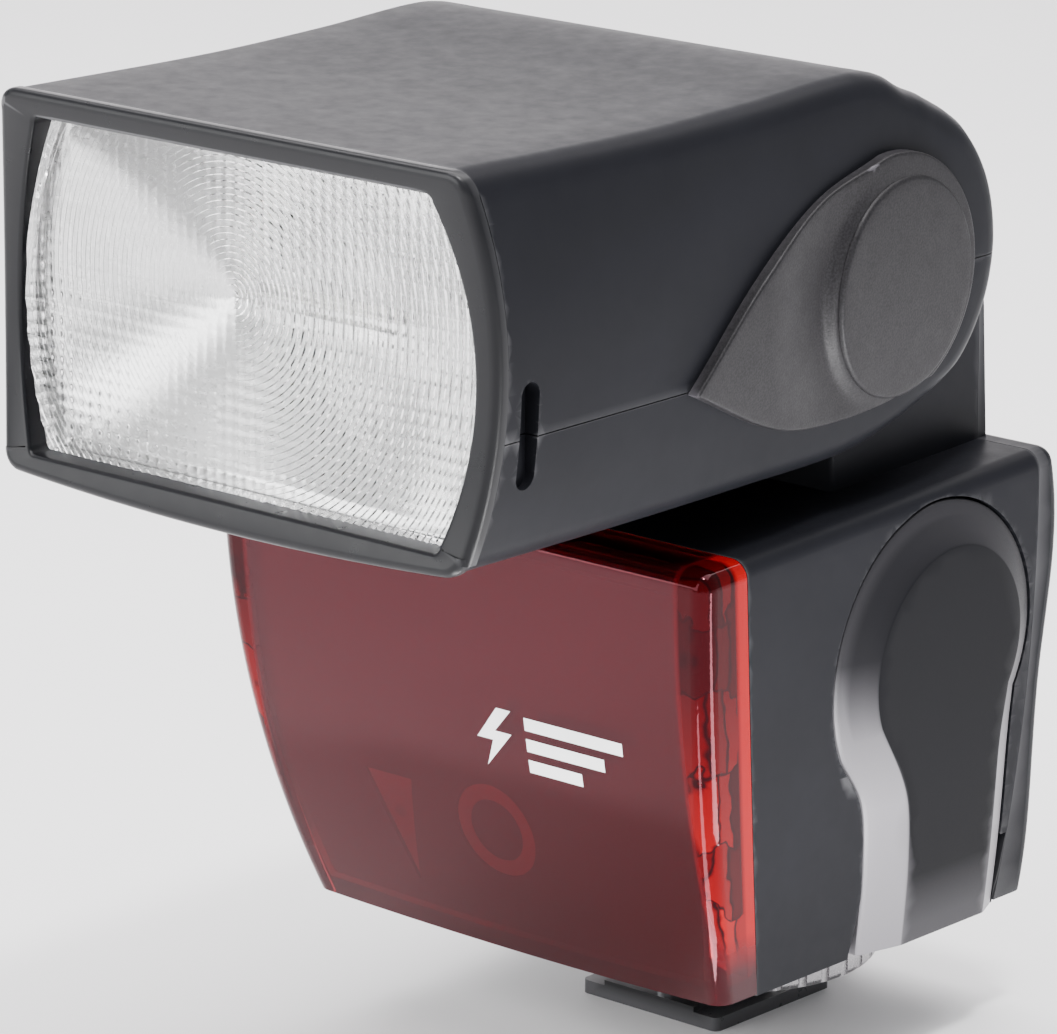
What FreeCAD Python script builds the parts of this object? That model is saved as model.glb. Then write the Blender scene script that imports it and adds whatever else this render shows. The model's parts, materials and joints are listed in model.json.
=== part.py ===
import FreeCAD, Part
import math
import os

# Compact speedlight flash with a bounce head, on a hot-shoe foot.
# Millimetres, +Z up, -Y is the way the lamp faces, origin under the middle of the lock ring
# on the underside of the shoe foot. The object is symmetric about x = 0 except for its door.

os.makedirs("parts", exist_ok=True)
V = FreeCAD.Vector

# ---- driving dimensions -------------------------------------------------------------------
WALL = 1.8                       # shell thickness
SPAN = 45.0                      # half length of construction prisms, beyond every part

# hot-shoe foot, to the accessory-shoe standard
FOOT_WIDTH = 18.6
FOOT_FRONT = -11.8
FOOT_BACK = 7.6
FLANGE_THICK = 1.5
FOOT_CORE_WIDTH = 12.3
POST_RADIUS = 5.5
POST_TOP = 15.8
BOSS_RADIUS = 8.4

# lock ring
RING_RADIUS = 17.0
RING_BOTTOM = 4.9
RING_TOP = 12.2
RING_RIBS = 36
RING_SLOT_RADIUS = 0.55
RING_BORE = 5.58
PLATE_RADIUS = 8.2

# body: half width and depth at the bottom, the middle and the top
BODY_LOW_Z, BODY_MID_Z, BODY_TOP_FRONT, BODY_TOP_REAR = 12.0, 40.0, 60.9, 63.3
FACE_Y = (-33.4, -41.9, -43.95)
SEAM_Y = (-27.9, -35.2, -37.6)
BODY_HALF = (27.7, 31.7, 32.5)
BODY_CORNER_Z = 13.2
BODY_KEEL_Z = 12.6
REAR_OUTLINE = ((17.1, 12.0), (16.7, 18.0), (15.0, 29.0), (14.0, 40.0), (14.6, 52.0), (13.1, 63.3))
SPLIT_LOW_Y, SPLIT_HIGH_Y = 11.6, 9.4   # parting of front and rear shell, low and high

# pivot of the head
PIVOT_Y, PIVOT_Z = -14.9, 85.6
EAR_Y, EAR_RADIUS = -11.9, 17.46   # the ears round off about a line a little behind the pivot
EAR_POCKET_RADIUS, EAR_FLOOR_X = 9.6, 27.6
NECK_HALF = 24.6
EAR_INNER = 25.2
KNUCKLE_RADIUS = 16.4
KNUCKLE_GAP = 0.5
AXLE_RADIUS = 6.0
AXLE_FIT = 0.05

# head: front outline (half widths) and rear outline
HEAD_FRONT_Y = -77.0
HEAD_DISH = 2.6
HEAD_TOP_Z, HEAD_BELLY_Z, HEAD_CHIN_Z = 104.9, 65.6, 66.8
BEZEL_DEPTH = 1.7
LENS_Y = -72.6
LENS_THICK = 2.0
WINDOW_TOP_Z, WINDOW_LOW_Z = 102.3, 68.6
WINDOW_HALF = (26.6, 29.6, 25.4)
HEAD_PARTING_Z = 79.3
EAR_PARTING_Z = 84.8
SLOT_Y, SLOT_HALF, SLOT_LOW_Z, SLOT_HIGH_Z = -69.4, 1.3, 75.6, 83.4

# battery door
DOOR_CENTRE = (-6.4, 45.0)
DOOR_RADIUS = 16.1
DOOR_GAP = 0.3
DOOR_AXIS_X, DOOR_AXIS_Z = 25.3, 17.0
DOOR_KNUCKLE = 4.9
KNUCKLE_ENDS = (-12.7, 10.7)
KNUCKLE_ROOM = (-13.3, 11.1)      # free length for the door's knuckle between the pin lugs
PIN_ENDS = (-15.0, 12.7)
PLATEAU_CENTRE, PLATEAU_RADIUS = (-5.1, 44.6), 11.7
PLATEAU_RISE = 1.3
PANEL_LOW_Z, PANEL_PLATEAU_LOW_Z = 13.6, 14.2


# ---- helpers ------------------------------------------------------------------------------
def side_plane(x):
    return lambda y, z: V(x, y, z)


def front_plane(y):
    return lambda x, z: V(x, y, z)


def outline(place, start, *steps):
    """Closed wire in one plane: steps are ("line", end), ("arc", middle, end) or ("curve", ...)."""
    edges = []
    here = start
    for kind, *points in steps:
        ends = [place(*point) for point in [here] + points]
        if kind == "line":
            edges.append(Part.LineSegment(*ends).toShape())
        elif kind == "arc":
            edges.append(Part.Arc(*ends).toShape())
        else:
            curve = Part.BSplineCurve()
            curve.interpolate(ends)
            edges.append(curve.toShape())
        here = points[-1]
    if here != start:
        edges.append(Part.LineSegment(place(*here), place(*start)).toShape())
    return Part.Wire(edges)


def polygon(place, points):
    return outline(place, points[0], *[("line", point) for point in points[1:]])


def across(wire_at):
    """Prism along X over the whole width of a wire drawn at x = -SPAN."""
    return Part.Face(wire_at).extrude(V(2 * SPAN, 0, 0))


def prism(wire, x=0.0, y=0.0, z=0.0):
    return Part.Face(wire).extrude(V(x, y, z))


def box(x0, x1, y0, y1, z0, z1):
    return Part.makeBox(x1 - x0, y1 - y0, z1 - z0, V(x0, y0, z0))


def rod(axis, radius, start, length):
    """Cylinder from the point start along "x", "y" or "z"."""
    way = {"x": V(1, 0, 0), "y": V(0, 1, 0), "z": V(0, 0, 1)}[axis]
    return Part.makeCylinder(radius, length, V(*start), way)


def tube(axis, outer, inner, start, length):
    return rod(axis, outer, start, length).cut(rod(axis, inner, start, length))


def fuse(shapes):
    shapes = list(shapes)
    return shapes[0].multiFuse(shapes[1:]).removeSplitter() if len(shapes) > 1 else shapes[0]


def mirrored(shape):
    return shape.mirror(V(0, 0, 0), V(1, 0, 0))


def both_sides(shape):
    return Part.makeCompound([shape, mirrored(shape)])


def save(node, shape):
    shape.exportStep("parts/" + node + ".step")
    print(node, "solids", len(shape.Solids), "volume", round(shape.Volume, 1), "valid", shape.isValid())


# ---- body shapes --------------------------------------------------------------------------
def body_front_profile(inset, plane_y):
    """Outline of the body seen from the front, narrowing towards the bottom."""
    top = BODY_TOP_REAR + 2.0
    bottom, middle, upper = (half - inset for half in BODY_HALF)
    return outline(
        front_plane(plane_y), (-bottom, BODY_CORNER_Z + inset),
        ("arc", (0, BODY_KEEL_Z + inset), (bottom, BODY_CORNER_Z + inset)),
        ("arc", (middle, BODY_MID_Z), (upper, top)),
        ("line", (-upper, top)),
        ("arc", (-middle, BODY_MID_Z), (-bottom, BODY_CORNER_Z + inset)),
    )


def body_block(inset=0.0):
    """The whole body below the neck, each face moved in by inset."""
    low, high = BODY_LOW_Z, BODY_TOP_FRONT - inset
    rear = [(y - inset, z) for y, z in REAR_OUTLINE]
    rear[-1] = (rear[-1][0], BODY_TOP_REAR - inset)
    side = outline(
        side_plane(-SPAN), (FACE_Y[0] + inset, low),
        ("arc", (FACE_Y[1] + inset, BODY_MID_Z), (FACE_Y[2] + inset, high)),
        ("line", rear[-1]),
        ("curve", *rear[-2::-1]),
    )
    return across(side).common(prism(body_front_profile(inset, -SPAN - 5), y=2 * SPAN))


def ahead_of(curve_y, shift=0.0):
    """Everything in front of a curved cross-wise surface through three depths."""
    low, middle, high = (y + shift for y in curve_y)
    far = -SPAN - 10
    wire = outline(
        side_plane(-SPAN), (low, BODY_LOW_Z),
        ("arc", (middle, BODY_MID_Z), (high, BODY_TOP_FRONT)),
        ("line", (high - 0.2, BODY_TOP_REAR + 5)),
        ("line", (far, BODY_TOP_REAR + 5)),
        ("line", (far, BODY_LOW_Z)),
    )
    return across(wire)


def behind_split(shift=0.0):
    """Everything behind the parting between the front and the rear shell."""
    return across(polygon(side_plane(-SPAN), [
        (SPLIT_LOW_Y + shift, 8.0), (SPLIT_HIGH_Y + shift, 90.0), (40.0, 90.0), (40.0, 8.0),
    ]))


def rounded(shape, radius, wanted):
    edges = [edge for edge in shape.Edges if wanted(edge)]
    return shape.makeFillet(radius, edges)


def body_outer():
    block = body_block()

    def is_side(edge):
        return edge.CenterOfMass.z > 20.0 or abs(edge.CenterOfMass.x) > 25.0 and edge.BoundBox.ZLength > 20

    return rounded(block, 1.9, is_side)


def neck_profile(inset, place):
    """Column and shelf below the pivot, open to the body."""
    front = PIVOT_Y + 0.6 + inset
    return outline(
        place, (front, 55.0),
        ("line", (front, PIVOT_Z)),
        ("line", (1.2 - inset, PIVOT_Z - 1.2 - inset)),
        ("line", (3.0 - inset, PIVOT_Z - 1.2 - inset)),
        ("arc", (8.4 - inset, 81.9 - inset), (10.6 - inset, 76.4 - inset)),
        ("line", (12.2 - inset, 55.0)),
    )


def neck(inset=0.0):
    start = -NECK_HALF + inset
    length = 2 * (NECK_HALF - inset)
    column = prism(neck_profile(inset, side_plane(start)), x=length)
    knuckle = rod("x", KNUCKLE_RADIUS - inset, (start, PIVOT_Y, PIVOT_Z), length)
    return column.fuse(knuckle)


# ---- head shapes --------------------------------------------------------------------------
def head_section(y, inset, half, top, chin, belly):
    low, middle, high = (value - inset for value in half)
    return outline(
        front_plane(y), (-low, chin + inset),
        ("arc", (0, belly + inset), (low, chin + inset)),
        ("arc", (middle, 84.0), (high, top - inset)),
        ("line", (-high, top - inset)),
        ("arc", (-middle, 84.0), (-low, chin + inset)),
    )


def head_side_outline(inset):
    """Dished front, and one smooth line from the roof round the pivot ear to the underside."""
    ear = EAR_RADIUS - inset
    front = HEAD_FRONT_Y
    roof = HEAD_TOP_Z - inset
    round_ear = []
    for angle in range(72, -60, -24):
        turn = math.radians(angle)
        round_ear.append((EAR_Y + ear * math.cos(turn), PIVOT_Z + ear * math.sin(turn)))
    return outline(
        side_plane(-SPAN), (front, HEAD_BELLY_Z - 1.6),
        ("arc", (front + HEAD_DISH, 84.5), (front, roof)),
        ("curve", (-50.0, roof - 0.25), (-33.0, roof + 0.2), (-18.0, roof + 0.95),
         (-13.2, roof + 0.3), (-9.8, roof - 1.4), *round_ear,
         (-9.0, 67.8 + inset), (-17.0, 65.8 + inset), (-30.0, 64.3)),
    )


def head_block(inset=0.0):
    front = head_section(-80.0, inset, (30.1, 32.4, 29.2), 106.9, HEAD_CHIN_Z, HEAD_BELLY_Z)
    rear = head_section(8.0, inset, (29.4, 30.6, 30.2), 106.9, HEAD_CHIN_Z, 66.0)
    loft = Part.makeLoft([front, rear], True, True)
    return across(head_side_outline(inset)).common(loft)


def bezel_zone(depth):
    """Everything ahead of the line where the bezel meets the shells."""
    front = HEAD_FRONT_Y + depth
    return across(outline(
        side_plane(-SPAN), (front, 60.0),
        ("line", (front, HEAD_BELLY_Z)),
        ("arc", (front + HEAD_DISH, 84.5), (front, HEAD_TOP_Z)),
        ("line", (front, 110.0)),
        ("line", (-90.0, 110.0)),
        ("line", (-90.0, 60.0)),
    ))


def window_prism(grow, start, depth):
    low, middle, high = (half + grow for half in WINDOW_HALF)
    wire = outline(
        front_plane(start), (-low, WINDOW_LOW_Z - grow),
        ("line", (low, WINDOW_LOW_Z - grow)),
        ("arc", (middle, 83.0), (high, WINDOW_TOP_Z + grow)),
        ("line", (-high, WINDOW_TOP_Z + grow)),
        ("arc", (-middle, 83.0), (-low, WINDOW_LOW_Z - grow)),
    )
    return prism(wire, y=depth)


def above_parting():
    """Everything that belongs to the upper head shell."""
    return across(polygon(side_plane(-SPAN), [
        (-90.0, HEAD_PARTING_Z), (-44.0, HEAD_PARTING_Z), (-30.0, EAR_PARTING_Z),
        (20.0, EAR_PARTING_Z), (20.0, 120.0), (-90.0, 120.0),
    ]))


def neck_room():
    """Space kept free in the head for the neck."""
    length = 2 * EAR_INNER
    round_part = rod("x", KNUCKLE_RADIUS + KNUCKLE_GAP, (-EAR_INNER, PIVOT_Y, PIVOT_Z), length)
    return round_part.fuse(box(-EAR_INNER, EAR_INNER, PIVOT_Y, 30.0, 60.0, 115.0))


def head_cavity():
    room = head_block(WALL).common(box(-SPAN, SPAN, -90.0, -17.0, 60.0, 110.0))
    keep = rod("x", KNUCKLE_RADIUS + KNUCKLE_GAP + WALL, (-SPAN, PIVOT_Y, PIVOT_Z), 2 * SPAN)
    return room.cut(keep)


HEAD_POSTS = ((26.0, -47.5), (19.0, -38.0))     # centres, mirrored to the other side
HEAD_POST_RADIUS, HEAD_POST_FOOT_Z, HEAD_POST_TOP_Z = 2.4, 66.9, 108.0
HEAD_SCREW_RADIUS, HEAD_SCREW_HOLE = 1.0, 1.1
HEAD_SCREW_LOW_Z, HEAD_SCREW_HIGH_Z, HEAD_SCREW_BORE_Z = 69.0, 85.5, 86.0
SCREW_CUP_RADIUS, SCREW_HEAD_RADIUS, SCREW_HEAD_Z, SCREW_HEAD_HEIGHT = 2.1, 1.9, 67.3, 1.7
DRIVER_SLOT = (-0.3, 0.3, -1.2, 1.2, 67.0, 67.9)
HEAD_EDGE_RADIUS = 2.6


def head_posts(radius, z0, z1):
    return [rod("z", radius, (side * x, y, z0), z1 - z0) for x, y in HEAD_POSTS for side in (-1, 1)]


def make_head_shells():
    outer = head_block()

    def long_edge(edge):
        centre = edge.CenterOfMass
        return abs(centre.x) > 20.0 and centre.y > HEAD_FRONT_Y + 6.0

    outer = rounded(outer, HEAD_EDGE_RADIUS, long_edge)
    hollow = outer.cut(head_cavity()).cut(neck_room()).cut(bezel_zone(BEZEL_DEPTH))
    lower_posts = head_posts(HEAD_POST_RADIUS, HEAD_POST_FOOT_Z, HEAD_PARTING_Z)
    upper_posts = head_posts(HEAD_POST_RADIUS, HEAD_PARTING_Z, HEAD_POST_TOP_Z)
    upper_posts = Part.makeCompound(upper_posts).common(head_block(0.4))
    for side in (-1, 1):
        start = EAR_FLOOR_X if side > 0 else -SPAN
        pocket = rod("x", EAR_POCKET_RADIUS, (start, PIVOT_Y, PIVOT_Z), SPAN - EAR_FLOOR_X)
        hollow = hollow.cut(pocket)
    hollow = hollow.cut(rod("x", AXLE_RADIUS + AXLE_FIT, (-SPAN, PIVOT_Y, PIVOT_Z), 2 * SPAN))
    hollow = hollow.cut(across(outline(
        side_plane(-SPAN), (SLOT_Y - SLOT_HALF, SLOT_LOW_Z),
        ("arc", (SLOT_Y, SLOT_LOW_Z - SLOT_HALF), (SLOT_Y + SLOT_HALF, SLOT_LOW_Z)),
        ("line", (SLOT_Y + SLOT_HALF, SLOT_HIGH_Z)),
        ("arc", (SLOT_Y, SLOT_HIGH_Z + SLOT_HALF), (SLOT_Y - SLOT_HALF, SLOT_HIGH_Z)),
    )))
    above = above_parting()
    threads = Part.makeCompound(head_posts(HEAD_SCREW_RADIUS, 60.0, HEAD_SCREW_BORE_Z))
    clearances = Part.makeCompound(head_posts(HEAD_SCREW_HOLE, 60.0, 90.0))
    cups = Part.makeCompound(head_posts(SCREW_CUP_RADIUS, 60.0, HEAD_SCREW_LOW_Z))
    upper = hollow.common(above).fuse(upper_posts).cut(threads)
    lower = hollow.cut(above).fuse(Part.makeCompound(lower_posts)).cut(clearances).cut(cups)
    save("head_upper_shell", upper)
    save("head_lower_shell", lower)
    screws = []
    for shank in head_posts(HEAD_SCREW_RADIUS, HEAD_SCREW_LOW_Z, HEAD_SCREW_HIGH_Z):
        x, y = shank.CenterOfMass.x, shank.CenterOfMass.y
        screw = rod("z", SCREW_HEAD_RADIUS, (x, y, SCREW_HEAD_Z), SCREW_HEAD_HEIGHT).fuse(shank)
        screws.append(screw.cut(box(*DRIVER_SLOT).translated(V(x, y, 0))))
    save("head_screws", Part.makeCompound(screws))


def make_bezel():
    block = head_block()
    frame = block.common(bezel_zone(BEZEL_DEPTH))
    rim = [edge for edge in frame.Edges if edge.BoundBox.YMin < HEAD_FRONT_Y + HEAD_DISH + 0.2
           and edge.CenterOfMass.y < HEAD_FRONT_Y + 1.8 and edge.BoundBox.YLength < 3.0
           and is_front_edge(edge)]
    frame = frame.makeFillet(0.9, rim)
    plug = head_block(WALL + 0.05).common(box(-SPAN, SPAN, -80.0, LENS_Y, 60.0, 110.0))
    plug = plug.cut(bezel_zone(BEZEL_DEPTH - 0.01))
    frame = frame.fuse(plug).cut(window_prism(0.0, -80.0, 20.0))
    save("front_bezel", frame)


def is_front_edge(edge):
    """True for an edge that lies on the dished front surface of the head."""
    front = bezel_zone(0.05)
    middle = edge.valueAt((edge.FirstParameter + edge.LastParameter) / 2)
    return front.isInside(middle, 0.01, True)


def make_lens():
    lens = window_prism(0.9, LENS_Y, LENS_THICK).common(head_block(WALL + 0.15))
    save("fresnel_lens", lens)


REFLECTOR_MOUTH_Y = LENS_Y + LENS_THICK + 0.4
REFLECTOR_BACK_Y = -52.0
REFLECTOR_HALF_HEIGHT = 15.4
REFLECTOR_HALF_WIDTH = 24.6
REFLECTOR_SKIN = 0.6
TUBE_Y, TUBE_Z = -55.2, 85.4
TUBE_RADIUS, TUBE_BORE, TUBE_HALF = 1.9, 1.3, 23.0
STEM_START, STEM_WIRE_RADIUS, STEM_WIRE_LENGTH = 17.5, 0.4, 6.0
SLEEVE_RADIUS, SLEEVE_BORE, SLEEVE_X, SLEEVE_LENGTH = 2.9, 1.95, 25.3, 2.2
FRAME_HALF, FRAME_LOW_Z, FRAME_HIGH_Z, FRAME_ARM = 21.0, 74.0, 97.0, 1.4
FRAME_FRONT_Y, FRAME_BACK_Y, FRAME_ARM_Y = -50.6, -49.2, -56.5
FRAME_WINDOW = (-17.0, 17.0, -51.0, -49.0, 79.0, 92.0)
HEAD_BOARD = (-16.0, 16.0, -46.4, -44.9, 72.0, 98.0)
COIL_X, COIL_Y, COIL_Z, COIL_HEIGHT, COIL_RADIUS, COIL_BORE = -9.0, -40.9, 79.0, 9.0, 3.2, 1.2
COIL_RIM_RADIUS, COIL_RIM = 3.9, 1.0
COIL_FOOT = (-11.5, -6.5, -44.9, -43.9, 80.0, 87.0)
SOCKET_X, SOCKET_Z, SOCKET_HALF_X, SOCKET_HALF_Z = (4.0, 10.0), (80.0, 90.0), 1.6, 2.0
SOCKET_FRONT_Y, SOCKET_BACK_Y = -44.9, -42.4


def trough(place, grow):
    """Parabolic trough outline, open end at the mouth."""
    depth = REFLECTOR_BACK_Y + grow - REFLECTOR_MOUTH_Y
    points = []
    for step in range(-6, 7):
        part = step / 6.0
        y = REFLECTOR_BACK_Y + grow - depth * part * part
        points.append((y, TUBE_Z + (REFLECTOR_HALF_HEIGHT + grow) * part))
    return outline(place, points[0], ("curve", *points[1:]))


def make_lamp_unit():
    half = REFLECTOR_HALF_WIDTH
    skin = REFLECTOR_SKIN
    outer = prism(trough(side_plane(-half - skin), skin), x=2 * (half + skin))
    inner = prism(trough(side_plane(-half), 0.0), x=2 * half)
    holes = rod("x", 2.2, (-SPAN, TUBE_Y, TUBE_Z), 2 * SPAN)
    slit = box(-half + 4, half - 4, -53.0, -50.0, TUBE_Z - 1.6, TUBE_Z + 1.6)
    save("reflector", outer.cut(inner).cut(holes).cut(slit))
    glass = tube("x", TUBE_RADIUS, TUBE_BORE, (-TUBE_HALF, TUBE_Y, TUBE_Z), 2 * TUBE_HALF)
    save("flash_tube", glass)
    stem = rod("x", TUBE_BORE, (STEM_START, TUBE_Y, TUBE_Z), TUBE_HALF - STEM_START)
    stem = stem.fuse(rod("x", STEM_WIRE_RADIUS, (TUBE_HALF, TUBE_Y, TUBE_Z), STEM_WIRE_LENGTH))
    save("tube_electrodes", both_sides(stem))
    sleeve = tube("x", SLEEVE_RADIUS, SLEEVE_BORE, (SLEEVE_X, TUBE_Y, TUBE_Z), SLEEVE_LENGTH)
    save("tube_sleeves", both_sides(sleeve))
    frame = box(-FRAME_HALF, FRAME_HALF, FRAME_FRONT_Y, FRAME_BACK_Y, FRAME_LOW_Z, FRAME_HIGH_Z)
    frame = frame.cut(box(*FRAME_WINDOW))
    arms = fuse([
        box(-FRAME_HALF, FRAME_HALF, FRAME_ARM_Y, -50.0, FRAME_HIGH_Z, FRAME_HIGH_Z + FRAME_ARM),
        box(-FRAME_HALF, FRAME_HALF, FRAME_ARM_Y, -50.0, FRAME_LOW_Z - 1.6, FRAME_LOW_Z),
    ])
    skin_room = prism(trough(side_plane(-half - skin - 0.1), skin + 0.1), x=2 * (half + skin + 0.1))
    save("reflector_frame", frame.fuse(arms).cut(skin_room))
    save("head_board", box(*HEAD_BOARD))
    coil = fuse([
        tube("z", COIL_RADIUS, COIL_BORE, (COIL_X, COIL_Y, COIL_Z), COIL_HEIGHT),
        tube("z", COIL_RIM_RADIUS, COIL_BORE, (COIL_X, COIL_Y, COIL_Z - COIL_RIM), COIL_RIM),
        tube("z", COIL_RIM_RADIUS, COIL_BORE, (COIL_X, COIL_Y, COIL_Z + COIL_HEIGHT), COIL_RIM),
    ])
    save("trigger_coil", coil.fuse(box(*COIL_FOOT)))
    sockets = []
    for x in SOCKET_X:
        for z in SOCKET_Z:
            sockets.append(box(x - SOCKET_HALF_X, x + SOCKET_HALF_X, SOCKET_FRONT_Y, SOCKET_BACK_Y,
                               z - SOCKET_HALF_Z, z + SOCKET_HALF_Z))
    save("board_connectors", Part.makeCompound(sockets))


# ---- tilt caps ----------------------------------------------------------------------------
CAP_Y, CAP_Z, CAP_RADIUS, CAP_PROUD = -14.3, 85.0, 13.0, 1.3
CAP_TIP = (-45.8, 79.1)
BUTTON_Y, BUTTON_Z, BUTTON_RADIUS, BUTTON_FACE_RADIUS = -12.9, 84.2, 11.3, 10.8
BUTTON_X, BUTTON_HEIGHT = 31.4, 2.0
SKIRT_RADIUS, SKIRT_BORE, SKIRT_X, SKIRT_LENGTH = 9.3, 8.1, 30.2, 1.6


def cap_outline(place):
    """Teardrop: a long tip pointing forward and down, and a round end over the pivot."""
    return outline(
        place, CAP_TIP,
        ("curve", (-36.2, 88.4), (-26.4, 94.8), (-16.4, CAP_Z + CAP_RADIUS - 0.2)),
        ("arc", (CAP_Y + CAP_RADIUS * math.cos(0.35), CAP_Z + CAP_RADIUS * math.sin(0.35)),
         (CAP_Y + CAP_RADIUS * math.cos(-1.0), CAP_Z + CAP_RADIUS * math.sin(-1.0))),
        ("curve", (-20.3, 71.9), (-32.0, 73.1), CAP_TIP),
    )


def make_caps():
    body = prism(cap_outline(side_plane(28.0)), x=4.6)
    side = head_block(-CAP_PROUD)
    body = body.common(side).cut(head_block(0.0))
    centre = V(BUTTON_X, BUTTON_Y, BUTTON_Z)
    button = Part.makeCone(BUTTON_RADIUS, BUTTON_FACE_RADIUS, BUTTON_HEIGHT, centre, V(1, 0, 0))
    body = body.fuse(button.cut(head_block(0.0)))
    skirt = tube("x", SKIRT_RADIUS, SKIRT_BORE, (SKIRT_X, PIVOT_Y, PIVOT_Z), SKIRT_LENGTH)
    hollow = rod("x", SKIRT_BORE, (20.0, PIVOT_Y, PIVOT_Z), BUTTON_X + 0.2 - 20.0)
    body = body.fuse(skirt).cut(hollow)
    save("tilt_cap_right", body)
    save("tilt_cap_left", mirrored(body))


AXLE_BORE = 4.0
INNER_FLANGE_RADIUS, INNER_FLANGE_THICK = 9.0, 1.6
OUTER_FLANGE_RADIUS, OUTER_FLANGE_X, OUTER_FLANGE_THICK = 7.8, 28.9, 1.2
RIDING_BORE = 6.3                # of the washer and the spring, free on the axle
WASHER_RADIUS, WASHER_X, WASHER_THICK = 11.0, 24.7, 0.4
SPRING_RADIUS, SPRING_X, SPRING_THICK = 7.6, 27.9, 0.7
LEAD_RADIUS, LEAD_X, LEAD_LENGTH = 1.6, 14.0, 16.4


def about_pivot(outer, bore, x, length):
    return tube("x", outer, bore, (x, PIVOT_Y, PIVOT_Z), length)


def make_pivot():
    barrel = about_pivot(AXLE_RADIUS, AXLE_BORE, NECK_HALF - 2.0, 6.4)
    inner_flange = about_pivot(INNER_FLANGE_RADIUS, AXLE_BORE, NECK_HALF - 3.6, INNER_FLANGE_THICK)
    outer_flange = about_pivot(OUTER_FLANGE_RADIUS, AXLE_BORE, OUTER_FLANGE_X, OUTER_FLANGE_THICK)
    save("tilt_axles", both_sides(fuse([barrel, inner_flange, outer_flange])))
    save("friction_washers", both_sides(about_pivot(WASHER_RADIUS, RIDING_BORE, WASHER_X, WASHER_THICK)))
    save("wave_springs", both_sides(about_pivot(SPRING_RADIUS, RIDING_BORE, SPRING_X, SPRING_THICK)))
    save("lamp_leads", both_sides(rod("x", LEAD_RADIUS, (LEAD_X, PIVOT_Y, PIVOT_Z), LEAD_LENGTH)))


# ---- body nodes ---------------------------------------------------------------------------
def door_outline(place, grow=0.0):
    """Keyhole: round top, then a strip that leans back down to the bottom edge."""
    cy, cz = DOOR_CENTRE
    radius = DOOR_RADIUS + grow
    left = math.radians(212.0)
    right = math.radians(-24.0)
    start = (cy + radius * math.cos(left), cz + radius * math.sin(left))
    stop = (cy + radius * math.cos(right), cz + radius * math.sin(right))
    return outline(
        place, start,
        ("arc", (cy, cz + radius), stop),
        ("curve", (8.4 + grow, 34.5), (8.9 + grow, 29.0), (11.7 + grow, 11.0)),
        ("line", (-11.6 - grow, 11.0)),
        ("curve", (-13.8 - grow, 24.0), (-15.8 - grow, 31.0), start),
    )


def plateau_outline(place):
    cy, cz = PLATEAU_CENTRE
    radius = PLATEAU_RADIUS
    left = math.radians(205.0)
    right = math.radians(-25.0)
    start = (cy + radius * math.cos(left), cz + radius * math.sin(left))
    stop = (cy + radius * math.cos(right), cz + radius * math.sin(right))
    return outline(
        place, start,
        ("arc", (cy, cz + radius), stop),
        ("curve", (5.2, 34.0), (5.6, 29.0), (8.3, 11.0)),
        ("line", (-5.8, 11.0)),
        ("curve", (-8.0, 24.0), (-10.0, 31.0), start),
    )


def door_pin_bore(radius, y0=-20.0, y1=20.0):
    return rod("y", radius, (DOOR_AXIS_X, y0, DOOR_AXIS_Z), y1 - y0)


def door_layer(place_x, wire_maker, outer_inset, inner_inset):
    block = prism(wire_maker(side_plane(place_x)), x=SPAN - place_x)
    return block.common(body_block(outer_inset)).cut(body_block(inner_inset))


CONTACT_PLATE_Y, CONTACT_PLATE_Z = (-12.0, 0.5), (22.5, 54.0)
BARREL_RADIUS, PIN_RADIUS, PIN_BORE = 1.9, 1.0, 1.05


def make_door():
    low_cut = box(15.0, SPAN, -30.0, 30.0, 0.0, DOOR_AXIS_Z)
    plate = door_layer(20.0, door_outline, 0.0, 2.0)
    plateau = door_layer(20.0, plateau_outline, -PLATEAU_RISE, 0.5)
    plate = plate.cut(low_cut)
    in_reach = door_pin_bore(DOOR_KNUCKLE, *KNUCKLE_ENDS)
    plateau = plateau.cut(low_cut.cut(in_reach))
    knuckle = in_reach.common(body_block(0.0)).cut(box(0.0, SPAN, -30.0, 30.0, DOOR_AXIS_Z, 30.0))
    barrel = door_pin_bore(BARREL_RADIUS, *KNUCKLE_ENDS).common(body_block(0.0))
    body = fuse([plate, plateau, knuckle, barrel])
    body = body.cut(door_pin_bore(PIN_BORE))
    save("battery_door", body)
    inner = body_block(2.05)
    contact = box(20.0, SPAN, *CONTACT_PLATE_Y, *CONTACT_PLATE_Z).common(inner).cut(body_block(2.55))
    save("door_contact_plate", contact)
    save("door_hinge_pin", door_pin_bore(PIN_RADIUS, *PIN_ENDS))


def make_side_panel():
    plate = door_layer(20.0, door_outline, 0.0, 2.0).cut(box(15.0, SPAN, -30.0, 30.0, 0.0, PANEL_LOW_Z))
    plateau = door_layer(20.0, plateau_outline, -PLATEAU_RISE, 0.5).cut(box(
        15.0, SPAN, -30.0, 30.0, 0.0, PANEL_PLATEAU_LOW_Z))
    save("side_panel", mirrored(fuse([plate, plateau])))


SENSOR_X, SENSOR_Z, SENSOR_RADIUS, SENSOR_HOLE = 0.6, 26.9, 5.2, 4.2
LAMP_X, LAMP_Z, LAMP_HOLE = -13.0, 26.6, 2.6
TRIANGLE = ((-16.6, 30.2), (-10.2, 30.2), (-12.2, 18.0))


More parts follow.
